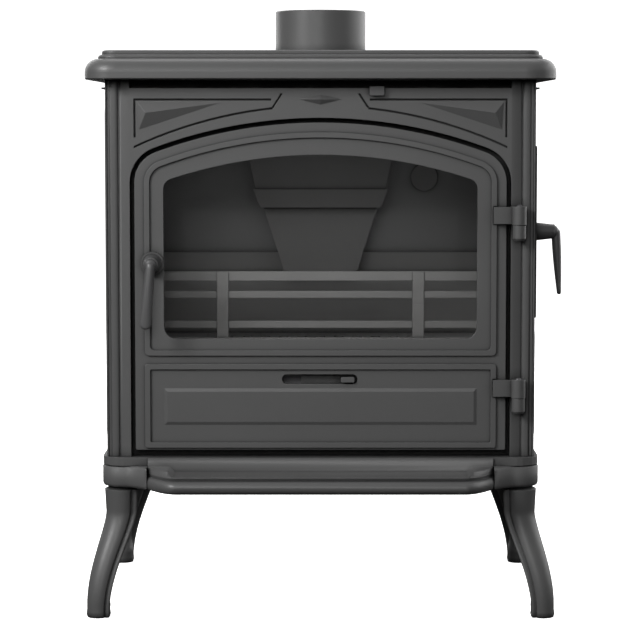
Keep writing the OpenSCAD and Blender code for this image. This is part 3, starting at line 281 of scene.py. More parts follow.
@dataclass(frozen=True)
class IronFinish:
    """Sand-cast iron under matt stove paint. Sizes in mm, scales in cells per metre."""

    name: str
    tone: Triple = (0.074, 0.074, 0.074)
    rough: float = 0.44
    grain: float = 0.05
    mottle: float = 0.06
    arris: float = 1.1
    # nook and the shade fields below set painted shade: where ambient occlusion finds a crease
    # within nook mm, the colour darkens and roughens
    nook: float = 16.0
    sand_scale: float = 1500
    skin_scale: float = 260
    cloud_scale: float = 11
    sand_share: float = 0.35
    skin_swing: float = 0.5
    cloud_swing: float = 0.9
    relief: float = 0.6
    rough_swing: float = 0.16
    shade_edge: float = 0.42
    shade_fade: float = 1.9
    shade_tone: float = 0.03
    shade_rough: float = 0.35
    shine: float = 0.55
    samples: int = 6

    def build(self) -> bpy.types.Material:
        """Builds the material.

        Returns:
            A grainy, softly mottled grey with rounded arrises, and painted shade darkening and
            roughening the nooks and creases.
        """
        paint = Paint(self.name)
        soft = paint.soft_arris(self.arris, self.samples)
        sand = paint.noise(self.sand_scale, rough=0.6)
        skin = paint.noise(self.skin_scale, detail=3.0, rough=0.55)
        cloud = paint.noise(self.cloud_scale, detail=3.0, rough=0.6)
        height = sand * self.sand_share + skin * (1 - self.sand_share)
        bump = paint.bump(self.grain, self.relief, height, soft)
        share = (cloud.swing(self.cloud_swing) + skin.swing(self.skin_swing) + 0.5).clamped()
        paler = paint.mix(share, dimmed(self.tone, 1 - self.mottle),
                          dimmed(self.tone, 1 + self.mottle))
        # Painted shade: ambient occlusion pulls the base colour towards near black in creases,
        # gaps and hollows
        nook = paint.node("ShaderNodeAmbientOcclusion", {"samples": self.samples},
                          {"Distance": self.nook * MM}, "AO")
        unshaded = ((nook - self.shade_edge) * self.shade_fade).clamped()
        return paint.finish({
            "Base Color": paint.mix(unshaded, dimmed(self.tone, self.shade_tone), paler),
            "Roughness": skin.swing(self.rough_swing) + (1 - unshaded) * self.shade_rough + self.rough,
            "Normal": bump,
            "Specular IOR Level": self.shine})


@dataclass(frozen=True)
class SteelFinish:
    """Plain rolled or turned steel, dulled by heat. Sizes in mm, scales in cells per metre."""

    name: str
    tone: Triple = (0.2, 0.195, 0.19)
    heat: Triple = (0.72, 0.75, 0.86)
    rough: float = 0.42
    rough_swing: float = 0.2
    metal: float = 0.85
    along: Triple = (1.0, 1.0, 30.0)
    line_scale: float = 60
    stain_scale: float = 24
    scratch: float = 0.06
    relief: float = 0.3
    arris: float = 0.6
    samples: int = 4

    def build(self) -> bpy.types.Material:
        """Builds the material.

        Returns:
            A metal with fine drawn lines and a bluish heat stain.
        """
        paint = Paint(self.name)
        lines = paint.noise(self.line_scale, detail=4.0, rough=0.7,
                            where=paint.stretched(self.along))
        stain = paint.noise(self.stain_scale, detail=3.0)
        soft = paint.soft_arris(self.arris, self.samples)
        bump = paint.bump(self.scratch, self.relief, lines, soft)
        cool = tuple(part * heat for part, heat in zip(self.tone, self.heat))
        return paint.finish({
            "Base Color": paint.mix(stain, cool, self.tone),
            "Metallic": self.metal,
            "Roughness": lines.swing(self.rough_swing) + self.rough,
            "Normal": bump})


@dataclass(frozen=True)
class LiningFinish:
    """Pressed lining board, greyed by soot. Sizes in mm, scales in cells per metre."""

    name: str
    tone: Triple = (0.12, 0.118, 0.114)
    soot: float = 0.55
    rough: float = 0.78
    pit_rough: float = 0.2
    pit_scale: float = 320
    cloud_scale: float = 9
    pit: float = 0.25
    relief: float = 0.8
    shine: float = 0.2

    def build(self) -> bpy.types.Material:
        """Builds the material.

        Returns:
            A dull, pitted board with soot clouds.
        """
        paint = Paint(self.name)
        pits = paint.node("ShaderNodeTexVoronoi", {"feature": "F1"},
                          {"Vector": paint.place(), "Scale": self.pit_scale}, "Distance")
        cloud = paint.noise(self.cloud_scale, detail=4.0, rough=0.6)
        bump = paint.bump(self.pit, self.relief, pits)
        return paint.finish({
            "Base Color": paint.mix(cloud, dimmed(self.tone, self.soot), self.tone),
            "Roughness": (pits * self.pit_rough + self.rough).clamped(),
            "Normal": bump,
            "Specular IOR Level": self.shine})


@dataclass(frozen=True)
class GlassFinish:
    """Clear ceramic glass with a faint smoke film."""

    name: str
    tone: Triple = (0.02, 0.02, 0.02)
    cover: float = 0.07
    cover_swing: float = 0.06
    rough: float = 0.08
    rough_swing: float = 0.04
    film_scale: float = 7
    shine: float = 0.5

    def build(self) -> bpy.types.Material:
        """Builds the material.

        Returns:
            A thin see-through pane that still mirrors the room.
        """
        paint = Paint(self.name)
        film = paint.noise(self.film_scale, detail=3.0)
        return paint.finish({
            "Base Color": (*self.tone, 1.0),
            "Alpha": self.cover + film.swing(self.cover_swing),
            "Roughness": self.rough + film.swing(self.rough_swing),
            "Specular IOR Level": self.shine})


@dataclass(frozen=True)
class RopeFinish:
    """Woven glass fibre rope and tape. Sizes in mm, scales in cells per metre."""

    name: str
    tone: Triple = (0.13, 0.125, 0.115)
    soot: float = 0.5
    pitch: float = 5.0
    slant: float = 0.5
    fuzz_scale: float = 1800
    fuzz_height: float = 0.3
    fuzz_share: float = 0.2
    strand: float = 0.7
    relief: float = 0.8
    rough: float = 0.95
    shine: float = 0.1

    def build(self) -> bpy.types.Material:
        """Builds the material.

        Returns:
            A braid of crossing strands.
        """
        paint = Paint(self.name)
        split = paint.node("ShaderNodeSeparateXYZ", {}, {0: paint.place()})
        x, y, z = (Signal(paint, socket) for socket in split.socket.node.outputs)
        turn = 2 * math.pi / (self.pitch * MM)
        one = ((x + z + y * self.slant) * turn).sine()
        two = ((x - z - y * self.slant) * turn).sine()
        weave = one * two * 0.5 + 0.5
        fuzz = paint.noise(self.fuzz_scale, rough=0.6)
        bump = paint.bump(self.strand, self.relief, weave + fuzz * self.fuzz_height)
        share = (weave * (1 - self.fuzz_share) + fuzz * self.fuzz_share).clamped()
        return paint.finish({
            "Base Color": paint.mix(share, dimmed(self.tone, self.soot), self.tone),
            "Roughness": self.rough,
            "Normal": bump,
            "Specular IOR Level": self.shine})


class Coat(Enum):
    """The stove's finishes: the record's material slots, and those of single castings."""

    CAST_IRON = "cast_iron"
    HOT_IRON = "hot_iron"
    THROAT_IRON = "throat_iron"
    WALL_IRON = "wall_iron"
    RING_IRON = "ring_iron"
    LIP_IRON = "lip_iron"
    HANDLE_IRON = "handle_iron"
    LINING = "lining_board"
    STEEL = "bare_steel"
    GLASS = "ceramic_glass"
    ROPE = "seal_rope"


class Finishes:
    """All materials, built once."""

    def __init__(self) -> None:
        """Builds every finish."""
        ash = {"rough": 0.72, "grain": 0.08, "mottle": 0.12}
        recipes = {
            Coat.CAST_IRON: IronFinish("charcoal_iron"),
            # Firebox castings: ash-roughened iron whose paler tone is partly painted light,
            # standing in for light that hardly reaches inside the firebox; the throat plates take
            # a less lifted copy
            Coat.HOT_IRON: IronFinish("ash_and_painted_light_iron", (0.122, 0.121, 0.119), **ash),
            Coat.THROAT_IRON: IronFinish("throat_iron", (0.092, 0.091, 0.09), **ash),
            Coat.WALL_IRON: IronFinish("wall_iron", arris=2.6),
            # The ring and the lip keep their painted crease shade to a shorter reach
            Coat.RING_IRON: IronFinish("ring_iron", rough=0.56, nook=6.0),
            Coat.LIP_IRON: IronFinish("lip_iron", nook=8.0),
            Coat.HANDLE_IRON: IronFinish("handle_iron", (0.068, 0.068, 0.069), rough=0.42,
                                         grain=0.03, mottle=0.04, arris=0.8),
            Coat.LINING: LiningFinish("sooty_board"),
            Coat.STEEL: SteelFinish("dull_steel"),
            Coat.GLASS: GlassFinish("fire_glass"),
            Coat.ROPE: RopeFinish("glass_rope"),
        }
        self.by_slot = {coat.value: recipe.build() for coat, recipe in recipes.items()}

    def wear(self, piece: bpy.types.Object, slot: Coat, coat: Coat | None = None) -> None:
        """Gives a piece the finish of its slot, or a finish of its own.

        Args:
            piece: the piece.
            slot: its slot in the record.
            coat: its own finish, where it differs from the slot's.
        """
        piece.data.materials.clear()
        piece.data.materials.append(self.by_slot[(coat or slot).value])


# Shop tools


def nothing_selected() -> None:
    """Leaves edit mode and deselects everything."""
    if bpy.context.object and bpy.context.object.mode != "OBJECT":
        bpy.ops.object.mode_set(mode="OBJECT")
    bpy.ops.object.select_all(action="DESELECT")


def take_up(piece: bpy.types.Object) -> None:
    """Makes a piece the only one that is selected, and the active one.

    Args:
        piece: the piece.
    """
    nothing_selected()
    piece.select_set(True)
    bpy.context.view_layer.objects.active = piece


def own_copy(piece: bpy.types.Object) -> bpy.types.Object:
    """Adds a copy of a piece to the scene, with a mesh of its own.

    Args:
        piece: the piece to copy.

    Returns:
        The copy, not selected.
    """
    nothing_selected()
    copy = piece.copy()
    copy.data = piece.data.copy()
    bpy.context.scene.collection.objects.link(copy)
    return copy


def settle(piece: bpy.types.Object, name: str, angle: float = 35.0) -> bpy.types.Object:
    """Applies a piece's place to its mesh, turns its faces outwards and smooths it.

    Args:
        piece: the finished mesh object, active or not.
        name: the piece's name.
        angle: edges sharper than this many degrees stay sharp.

    Returns:
        The piece, at the origin.
    """
    take_up(piece)
    bpy.ops.object.transform_apply(location=True, rotation=True, scale=True)
    bpy.ops.object.mode_set(mode="EDIT")
    bpy.ops.mesh.select_all(action="SELECT")
    bpy.ops.mesh.remove_doubles(threshold=WELD)
    bpy.ops.mesh.normals_make_consistent(inside=False)
    bpy.ops.object.mode_set(mode="OBJECT")
    bpy.ops.object.shade_smooth_by_angle(angle=math.radians(angle))
    piece.name = name
    piece.data.name = name
    return piece


def rod_blank(sides: int, bands: int) -> bpy.types.Object:
    """Adds a closed rod of radius 1 from z = 0 to z = 1, cut into bands, to be moulded.

    Args:
        sides: points round the rod.
        bands: bands along it.

    Returns:
        The blank, in object mode and active.
    """
    nothing_selected()
    bpy.ops.mesh.primitive_cylinder_add(vertices=sides, radius=1.0, depth=1.0,
                                        location=(0, 0, 0.5), end_fill_type="NGON")
    piece = bpy.context.object
    bpy.ops.object.transform_apply(location=True, rotation=True, scale=True)
    bpy.ops.object.mode_set(mode="EDIT")
    bpy.ops.mesh.select_all(action="DESELECT")
    mesh = bmesh.from_edit_mesh(piece.data)
    for edge in mesh.edges:
        edge.select = abs(edge.verts[0].co.z - edge.verts[1].co.z) > 0.5
    bmesh.update_edit_mesh(piece.data)
    bpy.ops.mesh.subdivide(number_cuts=bands - 1)
    bpy.ops.object.mode_set(mode="OBJECT")
    return piece


def mould(piece: bpy.types.Object, rule: Callable[[Vector], Sequence[float]]) -> None:
    """Pushes every point of a blank to its place.

    Args:
        piece: the blank.
        rule: gives a point's place, in metres, from its place in the blank.
    """
    for vertex in piece.data.vertices:
        vertex.co = rule(vertex.co.copy())
    piece.data.update()


def ease(share: float) -> float:
    """Eases a straight rise.

    Args:
        share: how far along the rise, below 0 before it and over 1 past it.

    Returns:
        A smooth step from 0 to 1.
    """
    held = min(max(share, 0.0), 1.0)
    return held * held * (3 - 2 * held)


def bell(offset: float, width: float) -> float:
    """Gives the height of a smooth bump.

    Args:
        offset: distance from its middle.
        width: where it ends on either side.

    Returns:
        1 in the middle, and 0 from the width outwards.
    """
    return 1 - ease(abs(offset) / width)


def on_circle(degrees: float) -> tuple[float, float]:
    """Finds a point on the circle of radius 1.

    Args:
        degrees: the angle.

    Returns:
        The angle's cosine and sine.
    """
    return math.cos(math.radians(degrees)), math.sin(math.radians(degrees))


def twin(piece: bpy.types.Object, name: str, flip: Triple) -> bpy.types.Object:
    """Copies a piece with its own mesh and mirrors the copy through the origin's planes.

    Args:
        piece: the finished pattern.
        name: the copy's name.
        flip: 1 or -1 for each axis.

    Returns:
        The copy.
    """
    copy = own_copy(piece)
    copy.scale = flip
    return settle(copy, name)


# The studio


@dataclass(frozen=True)
class Lamp:
    """A soft, square area light. Lengths in metres, power in watts."""

    name: str
    at: Triple
    towards: Triple
    size: float
    power: float

    def hang(self) -> None:
        """Adds the light to the scene, out of the camera's sight."""
        light = bpy.data.lights.new(self.name, "AREA")
        light.energy = self.power
        light.size = self.size
        holder = bpy.data.objects.new(self.name, light)
        bpy.context.scene.collection.objects.link(holder)
        holder.location = self.at
        way = Vector(self.towards) - Vector(self.at)
        holder.rotation_euler = way.to_track_quat("-Z", "Y").to_euler()
        holder.visible_camera = False


@dataclass
class Studio:
    """The floor, the backdrop, the lights and the camera. In metres, degrees and pixels."""

    camera_out: float = 3.156
    camera_up: float = 0.6481
    camera_dip: float = 4.465
    camera_sight: float = 60.0
    focal_px: float = 2310.2
    centre_px: tuple[float, float] = (320.5, 300.8)
    world: float = 0.38
    world_low: float = 0.03
    world_rise: tuple[float, float] = (-0.15, 0.35)
    floor_wide: float = 16.0
    floor_deep: float = 13.0
    floor_middle: float = -1.0
    floor_drop: float = 0.0004
    floor_glow: float = 0.95
    floor_tones: tuple[float, float] = (0.93, 0.95)
    floor_cloud: float = 3.0
    bend_steps: int = 12
    bend_step: float = 0.33
    wall_rise: float = 7.0
    lamps: tuple[Lamp, ...] = (
        Lamp("key", (-2.1, -1.9, 1.95), (0, -0.1, 0.45), 0.8, 78.0),
        Lamp("front_wash", (-0.5, -4.0, 1.6), (0, 0, 0.45), 1.1, 34.0),
        Lamp("firebox_lamp", (0, -0.11, 0.58), (0, 0.2, 0.38), 0.36, 0.36),
        Lamp("back_wash", (0, 1.6, 3.4), (0, 3.2, 0.6), 2.5, 60.0),
        Lamp("rear_fill_left", (-1.5, 2.9, 1.5), (0, 0.2, 0.4), 2.4, 46.0),
        Lamp("rear_fill_right", (1.9, 2.3, 1.4), (0, 0.2, 0.4), 2.4, 46.0),
        Lamp("side_fill", (3.1, 0.7, 1.3), (0.2, 0.1, 0.4), 2.4, 34.0),
    )

    def floor_finish(self) -> bpy.types.Material:
        """Builds the floor's pale, glowing finish.

        Returns:
            The material.
        """
        paint = Paint("pale_floor")
        tint = paint.noise(self.floor_cloud)
        low, high = ((tone,) * 3 for tone in self.floor_tones)
        return paint.finish({
            "Base Color": paint.mix(tint, low, high),
            "Roughness": 0.95,
            "Specular IOR Level": 0.1,
            "Emission Color": (1.0, 1.0, 1.0, 1.0),
            "Emission Strength": self.floor_glow})

    def sweep(self) -> None:
        """Models the pale floor that curves up into a backdrop."""
        nothing_selected()
        bpy.ops.mesh.primitive_plane_add(size=1.0, location=(0, 0, 0))
        floor = bpy.context.object
        bpy.ops.transform.resize(value=(self.floor_wide, self.floor_deep, 1.0),
                                 center_override=(0, 0, 0))
        bpy.ops.transform.translate(value=(0, self.floor_middle, -self.floor_drop))
        bpy.ops.object.transform_apply(location=True, rotation=True, scale=True)
        bpy.ops.object.mode_set(mode="EDIT")
        bpy.ops.mesh.select_all(action="DESELECT")
        mesh = bmesh.from_edit_mesh(floor.data)
        for edge in mesh.edges:
            edge.select = all(v.co.y > 1.0 for v in edge.verts)
        bmesh.update_edit_mesh(floor.data)
        for step in range(self.bend_steps):
            along, up = on_circle(90 / self.bend_steps * (step + 0.5))
            bpy.ops.mesh.extrude_region_move(TRANSFORM_OT_translate={
                "value": (0, self.bend_step * along, self.bend_step * up)})
        bpy.ops.mesh.extrude_region_move(TRANSFORM_OT_translate={"value": (0, 0, self.wall_rise)})
        settle(floor, "studio_floor", angle=60)
        floor.data.materials.append(self.floor_finish())
        floor.visible_diffuse = False
        floor.visible_glossy = False

    def dome(self) -> None:
        """Makes the studio's soft light: white overhead, falling to dark below the floor.

        The camera itself sees plain white past the floor's edge.
        """
        world = bpy.data.worlds.new("studio_air")
        world.use_nodes = True
        tree = world.node_tree
        sky = tree.nodes["Background"]
        sky.inputs["Strength"].default_value = self.world
        way = tree.nodes.new("ShaderNodeTexCoord")
        split = tree.nodes.new("ShaderNodeSeparateXYZ")
        height = tree.nodes.new("ShaderNodeMapRange")
        height.interpolation_type = "SMOOTHSTEP"
        low, high = self.world_rise
        spread = {"From Min": low, "From Max": high, "To Min": self.world_low, "To Max": 1.0}
        for name, value in spread.items():
            height.inputs[name].default_value = value
        tree.links.new(way.outputs["Generated"], split.inputs[0])
        tree.links.new(split.outputs["Z"], height.inputs["Value"])
        tree.links.new(height.outputs["Result"], sky.inputs["Color"])
        beyond = tree.nodes.new("ShaderNodeBackground")
        beyond.inputs["Color"].default_value = (1.0, 1.0, 1.0, 1.0)
        rays = tree.nodes.new("ShaderNodeLightPath")
        both = tree.nodes.new("ShaderNodeMixShader")
        tree.links.new(rays.outputs["Is Camera Ray"], both.inputs["Fac"])
        tree.links.new(sky.outputs["Background"], both.inputs[1])
        tree.links.new(beyond.outputs["Background"], both.inputs[2])
        tree.links.new(both.outputs["Shader"], tree.nodes["World Output"].inputs["Surface"])
        bpy.context.scene.world = world

    def camera(self) -> None:
        """Sets the camera where the photograph was taken from."""
        data = bpy.data.cameras.new("photo_camera")
        data.sensor_width = SENSOR
        data.lens = self.focal_px * SENSOR / PHOTO_SIDE
        data.shift_x = (PHOTO_SIDE / 2 - self.centre_px[0]) / PHOTO_SIDE
        data.shift_y = (self.centre_px[1] - PHOTO_SIDE / 2) / PHOTO_SIDE
        data.clip_end = self.camera_sight
        holder = bpy.data.objects.new("photo_camera", data)
        bpy.context.scene.collection.objects.link(holder)
        holder.location = (0, -self.camera_out, self.camera_up)
        holder.rotation_euler = (math.radians(90 - self.camera_dip), 0, 0)
        bpy.context.scene.camera = holder

    def build(self) -> None:
        """Builds the whole studio."""
        self.sweep()
        self.dome()
        for lamp in self.lamps:
            lamp.hang()
        self.camera()
        bpy.context.scene.view_settings.view_transform = "Standard"
        LOG.info("studio: floor, dome, %d lamps, camera", len(self.lamps))


# The stove


# Castings whose finish differs from that of their slot
OWN_COATS = {
    "throat_hood": Coat.THROAT_IRON,
    "throat_tongue": Coat.THROAT_IRON,
    "rear_lining": Coat.HOT_IRON,
    "port_plug": Coat.HOT_IRON,
    "guard_lower": Coat.HOT_IRON,
    "guard_upper": Coat.HOT_IRON,
    "fire_floor": Coat.HOT_IRON,
    "left_panel": Coat.WALL_IRON,
    "right_panel": Coat.WALL_IRON,
    # The air-wash slide takes the darker handle iron, partly as painted shade for the shadow under
    # the top plate
    "air_wash_slide": Coat.HANDLE_IRON,
}


@dataclass
class Castings:
    """The CAD nodes that keep their own shape and only get a finish."""

    finishes: Finishes

    def dress(self, frame: dict[str, dict]) -> None:
        """Gives every CAD node the finish of its record slot, or its own.

        Args:
            frame: the loaded frame.
        """
        slots = {entry["node"]: entry["material_slot"] for entry in frame["record"]["subparts"]}
        for name, node in frame["nodes"].items():
            own = OWN_COATS.get(name)
            material = self.finishes.by_slot[own.value if own else slots[name]]
            node.data.materials.clear()
            node.data.materials.append(material)
            LOG.info("node %s: %s", name, material.name)


@dataclass
class CabrioleLegs:
    """The four cast legs, round in front with a raised bead down both edges. In mm and degrees."""

    finishes: Finishes

    # Where the legs' axes stand
    axis_x: float = 261.0
    front_y: float = -138.0
    back_y: float = 182.0

    # The section, which turns from the round face to the heel behind
    head_r: float = 23.4
    face_r: float = 14.6
    back_r: float = 9.0
    heel_r: float = 19.0
    heel_share: float = 0.26
    back_from: float = 104.0
    back_over: float = 22.0
    toe_flare: float = 1.4
    toe_tall: float = 12.0
    sole_cut: float = 0.08
    sole_tall: float = 2.5

    # The bead and the hollow beside it
    bead: float = 2.6
    bead_at: float = 100.0
    bead_wide: float = 12.0
    groove: float = 2.2
    groove_at: float = 84.0
    groove_wide: float = 9.0

    # How the foot kicks outwards, by share of the height
    kick: float = 29.8
    kick_from: float = 0.8
    kick_over: float = 0.76
    kick_curve: float = 0.75

    # The narrower plug on the head
    plug: float = 0.55
    plug_step: float = 1.0

    sides: int = 112
    bands: int = 46

    def section(self, z: float, turn: float, top: float) -> float:
        """The reach of the leg's section from its own axis.

        Args:
            z: height in mm.
            turn: angle away from the leg's diagonal, in degrees from 0 to 180.
            top: the height of the leg's head in mm.

        Returns:
            The reach in mm.
        """
        face = self.face_r + (self.head_r - self.face_r) * z / top
        face += self.toe_flare * (1 - ease(z / self.toe_tall))
        heel_fade = 1 - ease(z / (self.heel_share * top))
        heel = self.back_r + (self.heel_r - self.back_r) * heel_fade
        share = ease((turn - self.back_from) / self.back_over)
        body = face * (1 - share) + min(heel, face) * share
        body += self.bead * bell(turn - self.bead_at, self.bead_wide)
        body -= self.groove * bell(turn - self.groove_at, self.groove_wide)
        return body * (1.0 - self.sole_cut * (1 - ease(z / self.sole_tall)))

    def pattern(self, top: float, under: float) -> bpy.types.Object:
        """Models the front left leg, with a narrower plug on its head.

        Args:
            top: the underside of the base ring, in mm.
            under: the underside of the bottom plate, in mm.

        Returns:
            The finished leg.
        """
        piece = rod_blank(self.sides, self.bands)
        half = math.sqrt(0.5)
        shaft = self.bands - 2

        def rule(point: Vector) -> Triple:
            """Wraps the blank's point onto the leg, and its last levels onto the plug."""
            level = round(point.z * self.bands)
            span = math.hypot(point.x, point.y)
            if level < shaft:
                z = top * (level / shaft)
            else:
                z = top + self.plug_step if level == shaft else under
                span *= self.plug
            turn = math.atan2(point.y, point.x)
            reach = self.section(min(z, top), abs(math.degrees(turn)), top) * span
            v, u = reach * math.sin(turn), reach * math.cos(turn)
            fall = max(0.0, (self.kick_from - z / top) / self.kick_over)
            out = self.kick * ease(fall ** self.kick_curve)
            x = -(u + v) * half - out - self.axis_x
            y = (v - u) * half - out + self.front_y
            return x * MM, y * MM, z * MM

        mould(piece, rule)
        return settle(piece, "cabriole_leg_front_left", angle=50)

    def build(self) -> None:
        """Models the first leg and copies it to the other corners."""
        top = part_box("base_ring")[0].z / MM
        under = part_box("base_plate")[0].z / MM
        first = self.pattern(top, under)
        right = twin(first, "cabriole_leg_front_right", (-1, 1, 1))
        back = twin(first, "cabriole_leg_rear_left", (1, -1, 1))
        for vertex in back.data.vertices:
            vertex.co.y += (self.back_y + self.front_y) * MM
        far = twin(back, "cabriole_leg_rear_right", (-1, 1, 1))
        for leg, node in ((first, "leg_front_left"), (right, "leg_front_right"),
                          (back, "leg_rear_left"), (far, "leg_rear_right")):
            self.finishes.wear(leg, Coat.CAST_IRON)
            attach(leg, "stove_body")
            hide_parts(node)
            LOG.info("leg %s", leg.name)


@dataclass
class Levers:
    """The two bent handles: a round stub with a rimmed end and a flat, hanging grip.

    Sizes in mm and degrees.
    """

    finishes: Finishes
    front_reach: float = 27.0
    side_reach: float = 23.0
    far: float = 12.0
    lean: float = 4.9
    sides: int = 48

    # The stub, its rim and the dome that ends it
    stub_r: float = 12.0
    elbow_r: float = 9.5
    stub_bands: int = 5
    rim: float = 0.8
    rim_foot: tuple[float, float] = (1.6, 0.1)
    rim_at: float = 2.0
    rim_end: tuple[float, float] = (2.7, 0.5)
    rim_turns: tuple[int, ...] = (0, 22, 45, 67, 90)
    dome_at: float = 2.4
    dome_rise: float = 5.6
    dome_inset: float = 0.9
    dome_turns: range = range(5, 89, 9)

    # The grip, from its tip up to its head
    out: float = 9.1
    fall: float = 4.9
    grip: float = 83.2
    grip_bands: int = 16
    tip_rises: tuple[float, ...] = (0.25, 0.8, 1.7, 3.0, 4.5)
    head_rises: tuple[float, ...] = (1.5, 2.8, 3.8, 4.4)
    tip_r: float = 6.0
    tip_edge_r: float = 2.0
    head_r: float = 4.6
    head_least: float = 0.02
    head_tuck: float = 0.25
    side_w: float = 6.0
    side_more: float = 1.3
    thin: float = 2.6
    thin_more: float = 3.4
    thin_pace: float = 1.15

    # The spindle
    pin_r: float = 5.0
    pin_in: float = 2.0
    pin_chamfer: float = 0.8
    pin_sides: int = 32

    def stub_outline(self, reach: float) -> list[tuple[float, float]]:
        """The stub's turned outline, from its boss over the rim to the dome of its elbow.

        Args:
            reach: from the boss to the middle of the elbow, in mm.

        Returns:
            Points of distance from the boss and radius, in mm.
        """
        neck = self.elbow_r - self.rim
        shares = [band / self.stub_bands for band in range(self.stub_bands + 1)]
        points = [(reach * t, self.stub_r + (self.elbow_r - self.stub_r) * t) for t in shares]
        points.append((reach + self.rim_foot[0], self.elbow_r - self.rim_foot[1]))
        for out, up in map(on_circle, self.rim_turns):
            points.append((reach + self.rim_at + self.rim * up, neck + self.rim * out))
        points.append((reach + self.rim_end[0], neck - self.rim_end[1]))
        for out, up in map(on_circle, self.dome_turns):
            points.append((reach + self.dome_at + self.dome_rise * up,
                           (neck - self.dome_inset) * out))
        return points

    def stub(self, reach: float) -> bpy.types.Object:
        """Turns the stub along +X.

        Args:
            reach: from the boss to the middle of the elbow, in mm.

        Returns:
            The stub, closed.
        """
        outline = self.stub_outline(reach)
        last = len(outline) - 1
        piece = rod_blank(self.sides, last)

        def rule(point: Vector) -> Triple:
            """Puts the blank's point on the turned outline."""
            x, r = outline[round(point.z * last)]
            span = math.hypot(point.x, point.y)
            turn = math.atan2(point.y, point.x)
            return x * MM, r * span * math.cos(turn) * MM, r * span * math.sin(turn) * MM

        mould(piece, rule)
        return piece

    def blade(self, reach: float) -> bpy.types.Object:
        """Moulds the hanging grip, wide across and thinning to a rounded tip.

        Args:
            reach: from the boss to the middle of the elbow, in mm.

        Returns:
            The grip, closed.
        """
        shaft = [self.tip_r + (self.grip - self.tip_r) * band / self.grip_bands
                 for band in range(self.grip_bands + 1)]
        rises = [*self.tip_rises, *shaft, *(self.grip + rise for rise in self.head_rises)]
        last = len(rises) - 1
        piece = rod_blank(self.sides, last)

        def rule(point: Vector) -> Triple:
            """Wraps the blank's point onto the grip."""
            up = rises[round(point.z * last)]
            over = max(0.0, up - self.grip)
            t = min(1.0, up / self.grip)
            tip = math.sqrt(1 - max(0.0, 1 - up / self.tip_r) ** 2)
            edge = math.sqrt(1 - max(0.0, 1 - up / self.tip_edge_r) ** 2)
            head = math.sqrt(max(self.head_least, 1 - (over / self.head_r) ** 2))
            slim = on_circle(90 * t)[0]
            full = on_circle(90 * min(1, self.thin_pace * t))[1]
            side = (self.side_w + self.side_more * slim) * tip * head
            thick = (self.thin + self.thin_more * full) * edge * head
            span = math.hypot(point.x, point.y)
            turn = math.atan2(point.y, point.x)
            x = reach + self.out - self.fall * t - self.head_tuck * over
            return ((x + thick * span * math.cos(turn)) * MM, side * span * math.sin(turn) * MM,
                    (up - self.grip) * MM)

        mould(piece, rule)
        return piece

    def spindle(self, length: float) -> bpy.types.Object:
        """Turns the spindle behind the boss, along -X, with a chamfered end.

        Args:
            length: how far it runs behind the boss, in mm.

        Returns:
            The spindle, closed.
        """
        outline = [(self.pin_in, self.pin_r), (-length + self.pin_chamfer, self.pin_r),
                   (-length, self.pin_r - self.pin_chamfer)]
        last = len(outline) - 1
        piece = rod_blank(self.pin_sides, last)

        def rule(point: Vector) -> Triple:
            """Puts the blank's point on the spindle."""
            x, r = outline[round(point.z * last)]
            return x * MM, r * point.x * MM, -r * point.y * MM

        mould(piece, rule)
        return piece

    def lever(self, node: str, body: str, reach: float, front: bool) -> None:
        """Joins one handle's pieces and sets it at its boss.

        Args:
            node: the CAD node that it stands for.
            body: the body that it rides on.
            reach: from the boss to the middle of the elbow, in mm.
            front: whether it is the front handle, which points to -Y and leans.
        """
        low, high = (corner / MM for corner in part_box(node))
        nut_low, nut_high = (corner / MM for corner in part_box(node.replace("lever", "nut")))
        middle = (nut_low + nut_high) / 2
        if front:
            spot = Vector((middle.x, low.y + reach + self.far, middle.z))
            behind = high.y - spot.y
        else:
            spot = Vector((high.x - reach - self.far, middle.y, middle.z))
            behind = spot.x - low.x
        stub, blade, pin = self.stub(reach), self.blade(reach), self.spindle(behind)
        take_up(blade)
        blade.rotation_euler = (math.radians(-self.lean if front else 0.0), 0, 0)
        bpy.ops.object.transform_apply(location=True, rotation=True, scale=True)
        take_up(stub)
        blade.select_set(True)
        pin.select_set(True)
        bpy.ops.object.join()
        stub.rotation_euler = (0, 0, math.radians(-90.0 if front else 0.0))
        stub.location = spot * MM
        settle(stub, node + "_cast", angle=40)
        self.finishes.wear(stub, Coat.HANDLE_IRON)
        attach(stub, body)
        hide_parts(node)
        LOG.info("lever %s", node)

    def build(self) -> None:
        """Makes the front and the side handle."""
        self.lever("front_lever", "front_handle", self.front_reach, True)
        self.lever("side_lever", "side_handle", self.side_reach, False)


@dataclass
class SoftCastings:
    """The moulded castings whose CAD forms are faceted: the same shapes, smooth. In mm."""

    finishes: Finishes
    angle: float = 24.0
    band_lean: float = 0.8
    band_tall: float = 16.0
    rim_tall: float = 0.1

    def soften(self, node: bpy.types.Object, name: str, coat: Coat) -> None:
        """Stands a smooth copy in a node's place.

        Args:
            node: the CAD node.
            name: the copy's name.
            coat: its finish.
        """
        copy = own_copy(node)
        if coat is Coat.LIP_IRON:
            self.upright_band(copy)
        settle(copy, name, self.angle)
        self.finishes.wear(copy, Coat.CAST_IRON, coat)
        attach(copy, "stove_body")
        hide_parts(node.name)
        LOG.info("soft casting %s", name)

    def upright_band(self, piece: bpy.types.Object) -> None:
        """Sets the band behind the lip's tray dead upright.

        Args:
            piece: the lip's copy.
        """
        points = [v.co for v in piece.data.vertices]
        top = max(p.z for p in points)
        front = min(p.y for p in points if p.z > top - self.rim_tall * MM)
        for point in points:
            near = abs(point.y - front) < self.band_lean * MM
            if near and point.z > top - self.band_tall * MM:
                point.y = front

    def build(self, nodes: dict[str, bpy.types.Object]) -> None:
        """Softens the ring and the lip.

        Args:
            nodes: the CAD nodes by name.
        """
        self.soften(nodes["base_ring"], "moulded_ring", Coat.RING_IRON)
        self.soften(nodes["ash_lip"], "ash_lip_cast", Coat.LIP_IRON)


